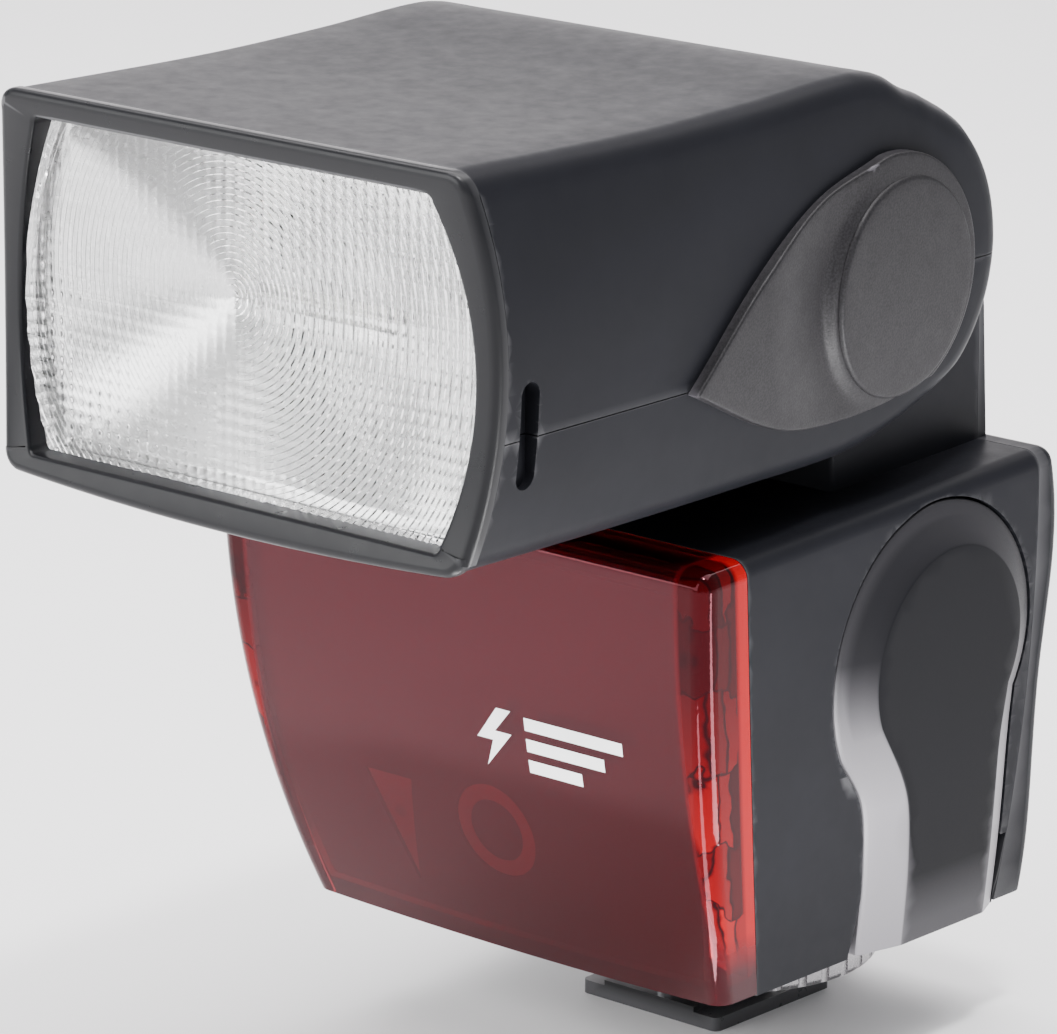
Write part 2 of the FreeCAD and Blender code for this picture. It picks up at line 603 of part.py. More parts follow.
def make_body_shells():
    outer = body_outer()
    cover_zone = ahead_of(SEAM_Y)
    split = behind_split()
    cavity = body_block(WALL).cut(ahead_of(SEAM_Y, WALL))
    neck_outer = neck()
    neck_inner = neck(WALL + 0.2)
    case = outer.cut(cover_zone).fuse(neck_outer)
    case = case.cut(cavity).cut(neck_inner)
    door_room = prism(door_outline(side_plane(20.0), DOOR_GAP), x=25.0)
    hinge_room = door_pin_bore(DOOR_KNUCKLE + 0.35, *KNUCKLE_ROOM)
    panel_room = mirrored(prism(door_outline(side_plane(20.0), 0.05), x=25.0)).cut(
        box(-SPAN, 0.0, -40.0, 40.0, 0.0, PANEL_LOW_Z))
    below_hinge = box(DOOR_AXIS_X, SPAN, *KNUCKLE_ROOM, 10.0, DOOR_AXIS_Z)
    case = case.cut(door_room.cut(box(0, SPAN, -40, 40, 0, DOOR_AXIS_Z)))
    case = case.cut(hinge_room).cut(below_hinge).cut(panel_room)
    boss = rod("z", BOSS_RADIUS, (0, 0, 12.0), POST_TOP - 12.0)
    lugs = [box(22.6, 28.0, y0, y1, 14.9, 19.6) for y0, y1 in ((-15.3, -13.6), (11.5, 13.0))]
    case = case.fuse(Part.makeCompound([lug.common(body_block(0.6)) for lug in lugs]))
    case = case.fuse(boss.common(body_block(0.2)))
    case = case.cut(rod("z", POST_RADIUS, (0, 0, 5.0), 12.0))
    case = case.cut(Part.makeCompound(post_shanks()))
    case = case.cut(door_pin_bore(PIN_RADIUS, *PIN_ENDS))
    case = case.cut(rod("x", AXLE_RADIUS, (-SPAN, PIVOT_Y, PIVOT_Z), 2 * SPAN))
    case = case.cut(rod("y", SENSOR_HOLE, (SENSOR_X, -60.0, SENSOR_Z), 40.0))
    case = case.cut(rod("y", LAMP_HOLE, (LAMP_X, -60.0, LAMP_Z), 40.0))
    front = case.cut(split)
    rear = case.common(split)
    rear = rear.cut(Part.makeCompound(control_holes()))
    save("body_front_shell", front)
    save("body_rear_shell", rear)
    cover = outer.common(cover_zone)
    room = body_block(WALL + 0.2).common(ahead_of(SEAM_Y, 5.0))
    save("red_window", cover.cut(room))
    layer = ahead_of(FACE_Y, 3.2).cut(ahead_of(FACE_Y, 2.3))
    layer = layer.common(prism(body_front_profile(2.6, -60.0), y=30.0))
    layer = layer.common(box(-SPAN, SPAN, -60.0, -20.0, 15.0, 57.6))
    layer = layer.cut(rod("y", SENSOR_RADIUS, (SENSOR_X, -60.0, SENSOR_Z), 40.0))
    triangle = polygon(front_plane(-60.0), TRIANGLE)
    layer = layer.cut(prism(triangle, y=40.0))
    save("window_backplate", layer)


# ---- inside the body ----------------------------------------------------------------------
CELL_RADIUS = 7.2
CELL_LENGTH = 50.0
CELL_END_X = 27.4
CELLS = ((-5.6, 46.0), (-4.2, 30.6))


CELL_NUB_RADIUS, CELL_NUB_LENGTH = 2.7, 1.2
CELL_FIT = 0.4
CRADLE = (-26.7, 25.0, -14.6, 4.6, 21.4, 54.8)
CRADLE_CUTS = (
    (-22.0, 21.0, -20.0, 10.0, 37.0, 39.5),      # between the two cells
    (-20.0, 20.0, -20.0, 10.0, 18.0, 25.0),      # below the lower cell
    (-20.0, 20.0, -20.0, 10.0, 52.0, 60.0),      # above the upper cell
)
SPRING_PLATE_X, SPRING_PLATE_THICK, SPRING_PLATE_HALF = -26.0, 0.4, 4.0
SPRING_TURNS, SPRING_WIRE, SPRING_WIDEST, SPRING_TAPER = 5, 0.6, 4.6, 0.5
CAPACITOR_Y, CAPACITOR_Z, CAPACITOR_RADIUS, CAPACITOR_LENGTH = -24.2, 45.5, 7.6, 46.0
CAPACITOR_END_X, CAPACITOR_CAP_RADIUS, CAPACITOR_CAP = 22.0, 6.6, 1.2
POWER_BOARD = (-24.0, 22.0, -24.4, -22.9, 17.6, 36.4)
CORE = (-20.0, -8.0, -22.9, -15.6, 20.0, 31.0)
CORE_WINDOW = (-19.0, -9.0, -23.0, -15.0, 21.8, 29.2)
WINDING_X, WINDING_Y, WINDING_Z, WINDING_HEIGHT = -14.0, -19.3, 21.8, 7.4
WINDING_RADIUS, WINDING_BORE = 6.4, 2.6
WINDING_ROOM = (-20.5, -7.5, -22.8, -15.8, 21.0, 30.0)
TRANSISTOR = (6.0, 12.0, -22.9, -19.6, 24.0, 32.0)


def make_power_parts():
    cells = []
    for y, z in CELLS:
        can = rod("x", CELL_RADIUS, (CELL_END_X - CELL_LENGTH, y, z), CELL_LENGTH - CELL_NUB_LENGTH)
        nub = rod("x", CELL_NUB_RADIUS, (CELL_END_X - CELL_NUB_LENGTH, y, z), CELL_NUB_LENGTH)
        cells.append(can.fuse(nub))
    save("battery_cells", Part.makeCompound(cells))
    tray = box(*CRADLE)
    for y, z in CELLS:
        tray = tray.cut(rod("x", CELL_RADIUS + CELL_FIT, (-26.0, y, z), 60.0))
    for room in CRADLE_CUTS:
        tray = tray.cut(box(*room))
    tray = tray.cut(door_pin_bore(DOOR_KNUCKLE + 0.5))
    save("battery_cradle", tray)
    springs = []
    for y, z in CELLS:
        half = SPRING_PLATE_HALF
        start = SPRING_PLATE_X + SPRING_PLATE_THICK
        turns = [box(SPRING_PLATE_X, start, y - half, y + half, z - half, z + half)]
        for n in range(SPRING_TURNS):
            outer = SPRING_WIDEST - SPRING_TAPER * n
            turns.append(tube("x", outer, outer - 0.7, (start + SPRING_WIRE * n, y, z), SPRING_WIRE))
        springs.append(fuse(turns))
    save("battery_contacts", Part.makeCompound(springs))
    start = (CAPACITOR_END_X - CAPACITOR_LENGTH, CAPACITOR_Y, CAPACITOR_Z)
    capacitor = rod("x", CAPACITOR_RADIUS, start, CAPACITOR_LENGTH)
    stopper = rod("x", CAPACITOR_CAP_RADIUS, (CAPACITOR_END_X, CAPACITOR_Y, CAPACITOR_Z), CAPACITOR_CAP)
    save("main_capacitor", capacitor.fuse(stopper))
    save("power_board", box(*POWER_BOARD))
    winding = tube("z", WINDING_RADIUS, WINDING_BORE, (WINDING_X, WINDING_Y, WINDING_Z), WINDING_HEIGHT)
    winding = winding.common(box(*WINDING_ROOM))
    save("transformer", box(*CORE).cut(box(*CORE_WINDOW)).fuse(winding))
    save("power_switch_transistor", box(*TRANSISTOR))


LED_RADIUS, LED_Y = 2.5, -33.6


def make_light_sensors():
    lens = rod("y", 3.9, (SENSOR_X, -34.4, SENSOR_Z), 7.8)
    lens = lens.fuse(rod("y", 4.9, (SENSOR_X, -35.4, SENSOR_Z), 1.4))
    save("photo_sensor", lens.cut(ahead_of(FACE_Y, 3.3)))
    led = rod("y", LED_RADIUS, (LAMP_X, LED_Y, LAMP_Z), 7.0)
    dome = Part.makeSphere(LED_RADIUS, V(LAMP_X, LED_Y, LAMP_Z))
    save("assist_lamp", led.fuse(dome.common(box(-20.0, 0.0, -40.0, LED_Y, 20.0, 35.0))))
    save("sensor_board", box(-18.0, 8.0, -26.6, -25.4, 20.0, 33.0))


# ---- rear controls ------------------------------------------------------------------------
PANEL = (-21.0, 21.0, 21.0, 56.0)
PANEL_CORNER, PANEL_PROUD = 3.0, 0.5
BOARD_Y, BOARD_THICK = 7.9, 1.2
BUTTON_BACK_Y, BUTTON_LENGTH, BUTTON_RIM, BUTTON_RIM_Y = 12.3, 4.2, 0.9, 11.7
TEST_X, TEST_Z, TEST_RADIUS = 12.5, 28.5, 3.6
MODE_X, MODE_Z = -12.5, 28.5
SWITCH_X, SWITCH_Z, SWITCH_HALF = 0.0, 28.5, 1.9
SWITCH_FRONT_Y, SWITCH_BACK_Y = 12.3, 16.7
LAMPS = ((-13.5, 46.5), (-4.5, 46.5), (4.5, 46.5), (13.5, 46.5))
LAMP_PIPE_RADIUS, LAMP_PIPE_END_Y = 1.25, 14.9


def control_holes(margin=0.25):
    length = 20.0
    buttons = [
        rod("y", TEST_RADIUS + margin, (TEST_X, 5.0, TEST_Z), length),
        rod("y", TEST_RADIUS + margin, (MODE_X, 5.0, MODE_Z), length),
        box(SWITCH_X - 4.2, SWITCH_X + 4.2, 5.0, 5.0 + length, SWITCH_Z - 2.2, SWITCH_Z + 2.2),
    ]
    return buttons + [rod("y", LAMP_PIPE_RADIUS + 0.05, (x, 5.0, z), length) for x, z in LAMPS]


def push_button(x, z):
    """Round cap with a wider rim behind the wall that keeps it in."""
    cap = rod("y", TEST_RADIUS, (x, BUTTON_BACK_Y, z), BUTTON_LENGTH)
    return cap.fuse(rod("y", TEST_RADIUS + BUTTON_RIM, (x, BUTTON_RIM_Y, z), 0.8))


def make_controls():
    x0, x1, z0, z1 = PANEL
    face = box(x0, x1, 5.0, 25.0, z0, z1)
    face = rounded(face, PANEL_CORNER, lambda edge: edge.BoundBox.YLength > 10)
    panel = face.common(body_block(-PANEL_PROUD)).cut(body_block(0.0))
    panel = panel.cut(Part.makeCompound(control_holes()))
    save("rear_panel", panel)
    save("test_button", push_button(TEST_X, TEST_Z))
    save("mode_button", push_button(MODE_X, MODE_Z))
    slider = box(-3.9, -0.3, SWITCH_FRONT_Y, SWITCH_BACK_Y, SWITCH_Z - SWITCH_HALF, SWITCH_Z + SWITCH_HALF)
    foot = box(-4.6, 2.6, SWITCH_FRONT_Y - 0.7, SWITCH_FRONT_Y + 0.1, SWITCH_Z - 2.6, SWITCH_Z + 2.6)
    slider = slider.fuse(foot)
    for n in range(3):
        groove = box(-3.3 + n, -2.9 + n, SWITCH_BACK_Y - 0.4, SWITCH_BACK_Y + 0.2,
                     SWITCH_Z - SWITCH_HALF, SWITCH_Z + SWITCH_HALF)
        slider = slider.cut(groove)
    save("power_switch", slider)
    board_back = BOARD_Y + BOARD_THICK
    pipes = [rod("y", LAMP_PIPE_RADIUS, (x, board_back, z), LAMP_PIPE_END_Y - board_back) for x, z in LAMPS]
    save("indicator_lamps", Part.makeCompound(pipes))
    save("control_board", box(-20.0, 20.0, BOARD_Y, board_back, 22.4, 54.0))
    under_buttons = ((TEST_X, TEST_Z), (MODE_X, MODE_Z))
    switches = []
    for x, z in under_buttons:
        switches.append(box(x - 3.0, x + 3.0, board_back, board_back + 1.5, z - 3.0, z + 3.0))
    switches.append(box(-5.5, 5.5, board_back, board_back + 2.0, SWITCH_Z - 3.0, SWITCH_Z + 3.0))
    save("board_switches", Part.makeCompound(switches))


# ---- foot and lock ring -------------------------------------------------------------------
def post_shanks():
    """Shanks of the four screws that hold the post plate to the body floor."""
    reach = (POST_RADIUS + BOSS_RADIUS) / 2
    return [rod("z", 0.9, (x * reach, y * reach, 13.4), POST_TOP + 1.4 - 13.4)
            for x, y in ((1, 0), (-1, 0), (0, 1), (0, -1))]


CONTACTS = ((0.0, 0.0), (-2.8, 3.4), (2.8, 3.4), (0.0, -4.4))


def make_foot():
    half = FOOT_WIDTH / 2
    flange = box(-half, half, FOOT_FRONT, FOOT_BACK, 0.0, FLANGE_THICK)
    flange = flange.makeFillet(0.8, [edge for edge in flange.Edges if edge.BoundBox.ZLength > 1])
    core_half = FOOT_CORE_WIDTH / 2
    core = box(-core_half, core_half, FOOT_FRONT, FOOT_BACK, 0.0, 2.1)
    post = rod("z", POST_RADIUS, (0, 0, 2.0), POST_TOP - 2.0)
    foot = fuse([flange, core, post])
    for x, y in CONTACTS:
        foot = foot.cut(rod("z", 0.85, (x, y, -1.0), 3.05)).cut(rod("z", 0.6, (x, y, 0.0), 6.0))
    foot = foot.cut(rod("z", 1.05, (0.0, -9.2, -1.0), 5.0))
    save("shoe_foot", foot)
    pins = [rod("z", 0.8, (x, y, 0.0), 1.6).fuse(rod("z", 0.55, (x, y, 1.6), 1.3)) for x, y in CONTACTS]
    save("contact_pins", Part.makeCompound(pins))
    save("lock_pin", rod("z", 1.0, (0.0, -9.2, 0.1), 3.4).fuse(box(-1.0, 1.0, -10.2, -7.4, 3.4, 4.0)))
    shanks = post_shanks()
    washer = tube("z", BOSS_RADIUS, 2.0, (0, 0, POST_TOP), 1.4)
    save("post_washer", washer.cut(Part.makeCompound(shanks)))
    screws = []
    for shank in shanks:
        seat = (shank.CenterOfMass.x, shank.CenterOfMass.y, POST_TOP + 1.4)
        screws.append(rod("z", 1.6, seat, 1.1).fuse(shank))
    save("post_screws", Part.makeCompound(screws))


def make_ring():
    height = RING_TOP - RING_BOTTOM
    ring = tube("z", RING_RADIUS, RING_BORE + 1.6, (0, 0, RING_BOTTOM), height)

    def is_rim(edge):
        return edge.BoundBox.XLength > 2 * RING_RADIUS - 1 and edge.BoundBox.ZLength < 0.1

    ring = rounded(ring, 0.7, is_rim)
    cutters = []
    for n in range(RING_RIBS):
        angle = 2 * math.pi * n / RING_RIBS
        x, y = RING_RADIUS * math.cos(angle), RING_RADIUS * math.sin(angle)
        cutters.append(rod("z", RING_SLOT_RADIUS, (x, y, RING_BOTTOM - 1), height + 2))
    ring = ring.cut(Part.makeCompound(cutters))
    ring = ring.cut(tube("z", 14.6, 10.4, (0, 0, RING_BOTTOM + 2.4), height))
    save("lock_ring", ring)
    plate = tube("z", PLATE_RADIUS, RING_BORE, (0, 0, RING_BOTTOM - 0.9), 0.8)
    sleeve = tube("z", RING_BORE + 1.55, RING_BORE, (0, 0, RING_BOTTOM - 0.4), 5.6)
    save("pressure_plate", plate.fuse(sleeve))


make_head_shells()
make_bezel()
make_lens()
make_lamp_unit()
make_caps()
make_pivot()
make_body_shells()
make_door()
make_side_panel()
make_power_parts()
make_light_sensors()
make_controls()
make_foot()
make_ring()
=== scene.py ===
import json
import math

import bmesh
import bpy
from mathutils import Matrix, Vector
from mathutils.geometry import delaunay_2d_cdt


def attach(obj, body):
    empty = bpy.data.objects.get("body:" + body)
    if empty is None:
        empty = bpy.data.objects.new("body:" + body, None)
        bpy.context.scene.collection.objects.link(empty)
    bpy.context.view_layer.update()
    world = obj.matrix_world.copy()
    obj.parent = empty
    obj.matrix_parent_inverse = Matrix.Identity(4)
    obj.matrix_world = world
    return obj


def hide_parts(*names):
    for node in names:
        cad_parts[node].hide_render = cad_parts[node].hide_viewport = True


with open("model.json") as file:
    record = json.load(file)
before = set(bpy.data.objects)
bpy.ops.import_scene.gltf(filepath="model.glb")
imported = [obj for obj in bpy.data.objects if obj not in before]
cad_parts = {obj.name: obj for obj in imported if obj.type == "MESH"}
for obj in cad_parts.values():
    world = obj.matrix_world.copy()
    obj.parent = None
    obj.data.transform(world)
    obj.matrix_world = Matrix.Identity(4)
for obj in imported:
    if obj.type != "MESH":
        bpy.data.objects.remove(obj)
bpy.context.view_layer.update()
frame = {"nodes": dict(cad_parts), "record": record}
MM = 0.001


# ---- materials ------------------------------------------------------------------------------
class Shader:
    """A node tree round one Principled shader, with short calls for the usual procedural detail."""

    def __init__(self, name, **sockets):
        self.material = bpy.data.materials.new(name)
        self.material.use_nodes = True
        self.nodes = self.material.node_tree.nodes
        self.links = self.material.node_tree.links
        self.shader = self.nodes["Principled BSDF"]
        self.place = self.nodes.new("ShaderNodeTexCoord").outputs["Object"]
        for socket, value in sockets.items():
            self.set(socket.replace("_", " "), value)

    def set(self, socket, value):
        target = self.shader.inputs[socket]
        if hasattr(value, "is_output"):
            self.links.new(value, target)
        elif isinstance(value, tuple):
            target.default_value = (*value, 1.0)
        else:
            target.default_value = value

    def node(self, kind, inputs=(), **properties):
        made = self.nodes.new(kind)
        for key, value in properties.items():
            setattr(made, key, value)
        for socket, value in dict(inputs).items():
            if hasattr(value, "is_output"):
                self.links.new(value, made.inputs[socket])
            else:
                made.inputs[socket].default_value = value
        return made

    def sum(self, operation, *values):
        return self.node("ShaderNodeMath", dict(enumerate(values)), operation=operation).outputs[0]

    def noise(self, scale_per_mm, detail=3.0, roughness=0.6):
        inputs = {"Vector": self.place, "Scale": scale_per_mm / MM, "Detail": detail, "Roughness": roughness}
        return self.node("ShaderNodeTexNoise", inputs).outputs["Fac"]

    def between(self, value, low, high, out_low, out_high):
        inputs = {"Value": value, "From Min": low, "From Max": high, "To Min": out_low, "To Max": out_high}
        return self.node("ShaderNodeMapRange", inputs).outputs["Result"]

    def mix(self, amount, first, second):
        made = self.node("ShaderNodeMix", {"Factor": amount}, data_type="RGBA")
        for socket, value in zip(made.inputs[6:8], (first, second)):
            if hasattr(value, "is_output"):
                self.links.new(value, socket)
            else:
                socket.default_value = (*value, 1.0)
        return made.outputs[2]

    def bump(self, height, strength, distance_mm):
        inputs = {"Height": height, "Strength": strength, "Distance": distance_mm * MM}
        self.set("Normal", self.node("ShaderNodeBump", inputs).outputs["Normal"])

    def split(self, vector):
        return self.node("ShaderNodeSeparateXYZ", {"Vector": vector}).outputs

    def edges(self, low, high):
        """Rises from 0 to 1 on sharp outer edges, where handling polishes a surface and where highlights are
        painted.
        """
        pointed = self.node("ShaderNodeNewGeometry").outputs["Pointiness"]
        return self.between(pointed, low, high, 0.0, 1.0)


def scaled(colour, factor):
    return tuple(min(1.0, factor * channel) for channel in colour)


def moulded(name, colour, roughness, grain_mm=0.16, grain=0.25, wear_and_sheen=(0.06, 0.06, 0.064), specular=0.3):
    """Moulded plastic: fine grain, slow changes of gloss and colour, and lighter sharp edges, both wear and a
    painted highlight.
    """
    made = Shader(name, Specular_IOR_Level=specular)
    fine = made.noise(1.0 / grain_mm, 2.0)
    slow = made.noise(0.09, 3.0)
    cast = made.mix(made.between(slow, 0.3, 0.7, 0.0, 1.0), colour, scaled(colour, 1.18))
    # Sharp edges lightened: wear from handling, and a painted highlight.
    made.set("Base Color", made.mix(made.edges(0.53, 0.60), cast, wear_and_sheen))
    patchy = made.between(made.noise(0.5, 4.0), 0.25, 0.75, roughness - 0.04, roughness + 0.05)
    made.set("Roughness", patchy)
    made.bump(fine, grain, 0.02)
    return made.material


def painted(name, colour, metallic, roughness, flake_mm=0.1, grain=0.4):
    """Satin paint with fine flake, and a painted highlight on its sharp edges."""
    made = Shader(name, Metallic=metallic, Specular_IOR_Level=0.22)
    flake = made.noise(1.0 / flake_mm, 1.0, 0.5)
    tone = made.mix(made.between(flake, 0.35, 0.68, 0.0, 1.0), scaled(colour, 0.72), scaled(colour, 1.35))
    # Painted highlight: sharp edges brightened to six times the paint colour.
    made.set("Base Color", made.mix(made.edges(0.54, 0.62), tone, scaled(colour, 6.0)))
    made.set("Roughness", made.between(made.noise(0.4), 0.3, 0.7, roughness - 0.04, roughness + 0.05))
    made.bump(flake, grain, 0.02)
    return made.material


def metal(name, colour, roughness, streak=(1.0, 1.0, 1.0), depth=0.3):
    """Bare or plated metal with drawn or cast texture; streak stretches it along an axis."""
    made = Shader(name, Metallic=1.0)
    stretch = made.node("ShaderNodeMapping", {"Vector": made.place, "Scale": streak}).outputs["Vector"]
    noise = made.node("ShaderNodeTexNoise", {"Vector": stretch, "Scale": 5.0 / MM, "Detail": 3.0})
    grain = noise.outputs["Fac"]
    made.set("Base Color", made.mix(made.between(grain, 0.3, 0.7, 0.0, 1.0), scaled(colour, 0.85), colour))
    made.set("Roughness", made.between(grain, 0.3, 0.7, roughness - 0.05, roughness + 0.07))
    made.bump(grain, depth, 0.01)
    return made.material


def clear(name, tint, roughness, index, grain=0.1, **sockets):
    """Transparent moulding or glass with faint flow marks."""
    made = Shader(name, Base_Color=tint, IOR=index, **sockets)
    made.set("Transmission Weight", 1.0)
    made.set("Roughness", made.between(made.noise(0.3), 0.3, 0.7, roughness, roughness + 0.03))
    made.bump(made.noise(0.2), grain, 0.02)
    return made.material


# Painted reflection: silver on the sloped border, full below the lower height and gone above the higher one.
PANEL_BLACK, PANEL_PAINTED_SHEEN = (0.0035, 0.0037, 0.005), (0.3, 0.29, 0.31)
SHEEN_FULL_Z, SHEEN_GONE_Z = 30.0, 47.0
SLOPED_BELOW, FLAT_ABOVE = 0.955, 0.985     # how far a face looks sideways, 1 being straight aside


def door_plastic():
    """Black panel whose sloped border turns silver towards its foot: a painted reflection of the light on the
    slope, fading upward.
    """
    made = Shader("door_plastic", Specular_IOR_Level=0.06)
    facing = made.split(made.node("ShaderNodeTexCoord").outputs["Normal"])
    outward = made.sum("ABSOLUTE", facing["X"])
    sloped = made.between(outward, SLOPED_BELOW, FLAT_ABOVE, 1.0, 0.0)
    height = made.split(made.place)["Z"]
    # The painted reflection fades out with height.
    low = made.between(height, SHEEN_FULL_Z * MM, SHEEN_GONE_Z * MM, 1.0, 0.06)
    painted_sheen = made.sum("MULTIPLY", sloped, low)
    grain = made.noise(6.0, 2.0)
    made.set("Base Color", made.mix(painted_sheen, PANEL_BLACK, PANEL_PAINTED_SHEEN))
    made.set("Metallic", made.between(painted_sheen, 0.0, 1.0, 0.0, 0.7))
    made.set("Roughness", made.between(grain, 0.3, 0.7, 0.32, 0.42))
    made.bump(grain, 0.2, 0.02)
    return made.material


# Side-wall colours: dark ribs, and a painted glow of light shining through the red walls.
WINDOW_FACE_RED, WALL_DARK, WALL_LIT_RED = (0.2, 0.004, 0.008), (0.006, 0.0002, 0.0004), (0.3, 0.0006, 0.002)
WALL_STARTS_X, WALL_FULL_X = 28.4, 29.2
SEAM_BEND, SEAM_LEAN, SEAM_FOOT = 0.002984, 0.4159, -23.34     # seam: y = bend z z - lean z + foot
RIM_FULL, RIM_GONE = 1.3, 2.0


def red_acrylic():
    """Red window: deep and clear over its face; down its side walls painted light, saturated red where light
    shines through, in blocks between dark ribs and in a stripe along the seam, weaker higher up.
    """
    made = Shader("red_acrylic", IOR=1.49, Specular_IOR_Level=0.2, Specular_Tint=(1.0, 0.3, 0.38))
    place = made.split(made.place)
    aside = made.sum("ABSOLUTE", place["X"])
    wall = made.between(aside, WALL_STARTS_X * MM, WALL_FULL_X * MM, 0.0, 1.0)
    level = made.sum("DIVIDE", place["Z"], MM)
    bowed = made.sum("SUBTRACT", made.sum("MULTIPLY", made.sum("MULTIPLY", level, level), SEAM_BEND),
                     made.sum("MULTIPLY", level, SEAM_LEAN))
    from_seam = made.sum("SUBTRACT", made.sum("ADD", bowed, SEAM_FOOT), made.sum("DIVIDE", place["Y"], MM))
    stray = made.between(made.noise(0.12), 0.3, 0.7, -0.8, 0.8)
    # Painted light: a lit red stripe along the seam.
    rim = made.between(from_seam, RIM_FULL, RIM_GONE, 1.0, 0.0)
    across, upward = made.sum("ADD", from_seam, stray), made.sum("MULTIPLY_ADD", stray, 3.0, level)
    flat = made.node("ShaderNodeCombineXYZ", {"X": across, "Y": upward}).outputs["Vector"]
    dark, bright = (0.0, 0.0, 0.0, 1.0), (1.0, 1.0, 1.0, 1.0)
    blocks = made.node("ShaderNodeTexBrick", {
        "Vector": flat, "Color1": dark, "Color2": bright, "Mortar": dark, "Scale": 1.0, "Mortar Size": 0.3,
        "Mortar Smooth": 1.0, "Brick Width": 1.9, "Row Height": 8.0}, offset=0.35).outputs["Color"]
    # Painted light: the glow weakens higher up the wall.
    low = made.between(level, 24.0, 50.0, 1.0, 0.2)
    lit = made.sum("MAXIMUM", rim, made.sum("MULTIPLY", blocks, low))
    side = made.mix(lit, WALL_DARK, WALL_LIT_RED)
    made.set("Base Color", made.mix(wall, WINDOW_FACE_RED, side))
    made.set("Transmission Weight", made.between(wall, 0.0, 1.0, 0.96, 0.15))
    made.set("Roughness", made.between(made.noise(0.3), 0.3, 0.7, 0.015, 0.045))
    made.bump(made.noise(0.2), 0.03, 0.02)
    return made.material


def ribbed_acrylic():
    """Clear acrylic with a fine net of ribs moulded into it, up and across."""
    made = Shader("lens_acrylic", Base_Color=(0.99, 0.99, 0.99), IOR=1.49)
    made.set("Transmission Weight", 1.0)
    made.set("Roughness", made.between(made.noise(0.3), 0.3, 0.7, 0.02, 0.05))
    wavy = made.node("ShaderNodeMapping", {"Vector": made.place, "Scale": (1.0, 0.0, 1.0)}).outputs["Vector"]
    nets = []
    for way in ("X", "Z"):
        ribs = made.node("ShaderNodeTexWave", {"Vector": wavy, "Scale": 0.24 / MM, "Distortion": 0.6,
                                               "Detail": 1.0}, bands_direction=way)
        nets.append(ribs.outputs["Fac"])
    made.bump(made.sum("ADD", *nets), 0.35, 0.08)
    return made.material


BLACK = (0.012, 0.012, 0.014)
MATERIALS = {
    "shell_plastic": moulded("shell_plastic", (0.008, 0.0083, 0.0105), 0.42, specular=0.07),
    "bezel_plastic": moulded("bezel_plastic", (0.005, 0.0052, 0.0065), 0.3, grain=0.12, specular=0.22),
    "cap_plastic": painted("cap_plastic", (0.014, 0.0133, 0.015), 0.2, 0.46, flake_mm=0.22, grain=0.8),
    "door_plastic": door_plastic(),
    "lens_acrylic": ribbed_acrylic(),
    "reflector_metal": metal("reflector_metal", (0.95, 0.95, 0.95), 0.3, (0.05, 1.0, 1.0)),
    "tube_glass": clear("tube_glass", (0.97, 0.97, 0.94), 0.01, 1.47),
    "electrode_metal": metal("electrode_metal", (0.55, 0.55, 0.56), 0.3),
    "silicone": moulded("silicone", (0.55, 0.54, 0.52), 0.5, wear_and_sheen=(0.7, 0.7, 0.7)),
    "red_acrylic": red_acrylic(),
    "smoked_plate": moulded("smoked_plate", (0.02, 0.01, 0.011), 0.4, grain=0.1, wear_and_sheen=(0.05, 0.02, 0.02)),
    "inner_plastic": moulded("inner_plastic", (0.02, 0.02, 0.022), 0.5),
    "sensor_window": clear("sensor_window", (0.35, 0.02, 0.03), 0.04, 1.49),
    "cue_red": moulded("cue_red", (0.9, 0.35, 0.35), 0.5, grain=0.1, wear_and_sheen=(0.9, 0.4, 0.4)),
    "board_green": moulded("board_green", (0.01, 0.09, 0.035), 0.4, wear_and_sheen=(0.05, 0.2, 0.1)),
    "component_black": moulded("component_black", BLACK, 0.5),
    "winding_tape": moulded("winding_tape", (0.45, 0.3, 0.03), 0.4, wear_and_sheen=(0.5, 0.4, 0.1)),
    "lead_rubber": moulded("lead_rubber", (0.02, 0.02, 0.02), 0.6),
    "nickel": metal("nickel", (0.62, 0.6, 0.56), 0.22),
    "zinc": metal("zinc", (0.55, 0.56, 0.58), 0.35),
    "spring_steel": metal("spring_steel", (0.5, 0.5, 0.52), 0.28),
    "cell_jacket": moulded("cell_jacket", (0.05, 0.16, 0.32), 0.35, wear_and_sheen=(0.3, 0.4, 0.5)),
    "capacitor_sleeve": moulded("capacitor_sleeve", (0.02, 0.02, 0.03), 0.32),
    "panel_film": moulded("panel_film", (0.035, 0.036, 0.04), 0.38, grain=0.3),
    "button_plastic": moulded("button_plastic", (0.16, 0.16, 0.17), 0.42, wear_and_sheen=(0.3, 0.3, 0.3)),
    "lamp_plastic": clear("lamp_plastic", (0.9, 0.45, 0.25), 0.15, 1.49),
    "foot_plastic": moulded("foot_plastic", (0.01, 0.01, 0.011), 0.3, grain=0.1),
    "ring_metal": metal("ring_metal", (0.36, 0.35, 0.36), 0.24),
    "plate_metal": metal("plate_metal", (0.5, 0.5, 0.5), 0.35),
    "white_ink": moulded("white_ink", (0.85, 0.85, 0.86), 0.4, grain=0.1, wear_and_sheen=(0.9, 0.9, 0.9)),
}

for row in frame["record"]["subparts"]:
    shown = frame["nodes"][row["node"]]
    shown.data.materials.clear()
    shown.data.materials.append(MATERIALS[row["material_slot"]])
    for face in shown.data.polygons:
        face.material_index = 0


# ---- stage ----------------------------------------------------------------------------------
def area_light(name, place, aim, size, power, colour=(1.0, 1.0, 1.0)):
    data = bpy.data.lights.new(name, "AREA")
    data.shape = "RECTANGLE"
    data.size, data.size_y = size
    data.energy = power
    data.color = colour
    lamp = bpy.data.objects.new(name, data)
    lamp.location = Vector(place)
    lamp.rotation_mode = "QUATERNION"
    lamp.rotation_quaternion = (Vector(aim) - Vector(place)).to_track_quat("-Z", "Y")
    bpy.context.scene.collection.objects.link(lamp)
    return lamp


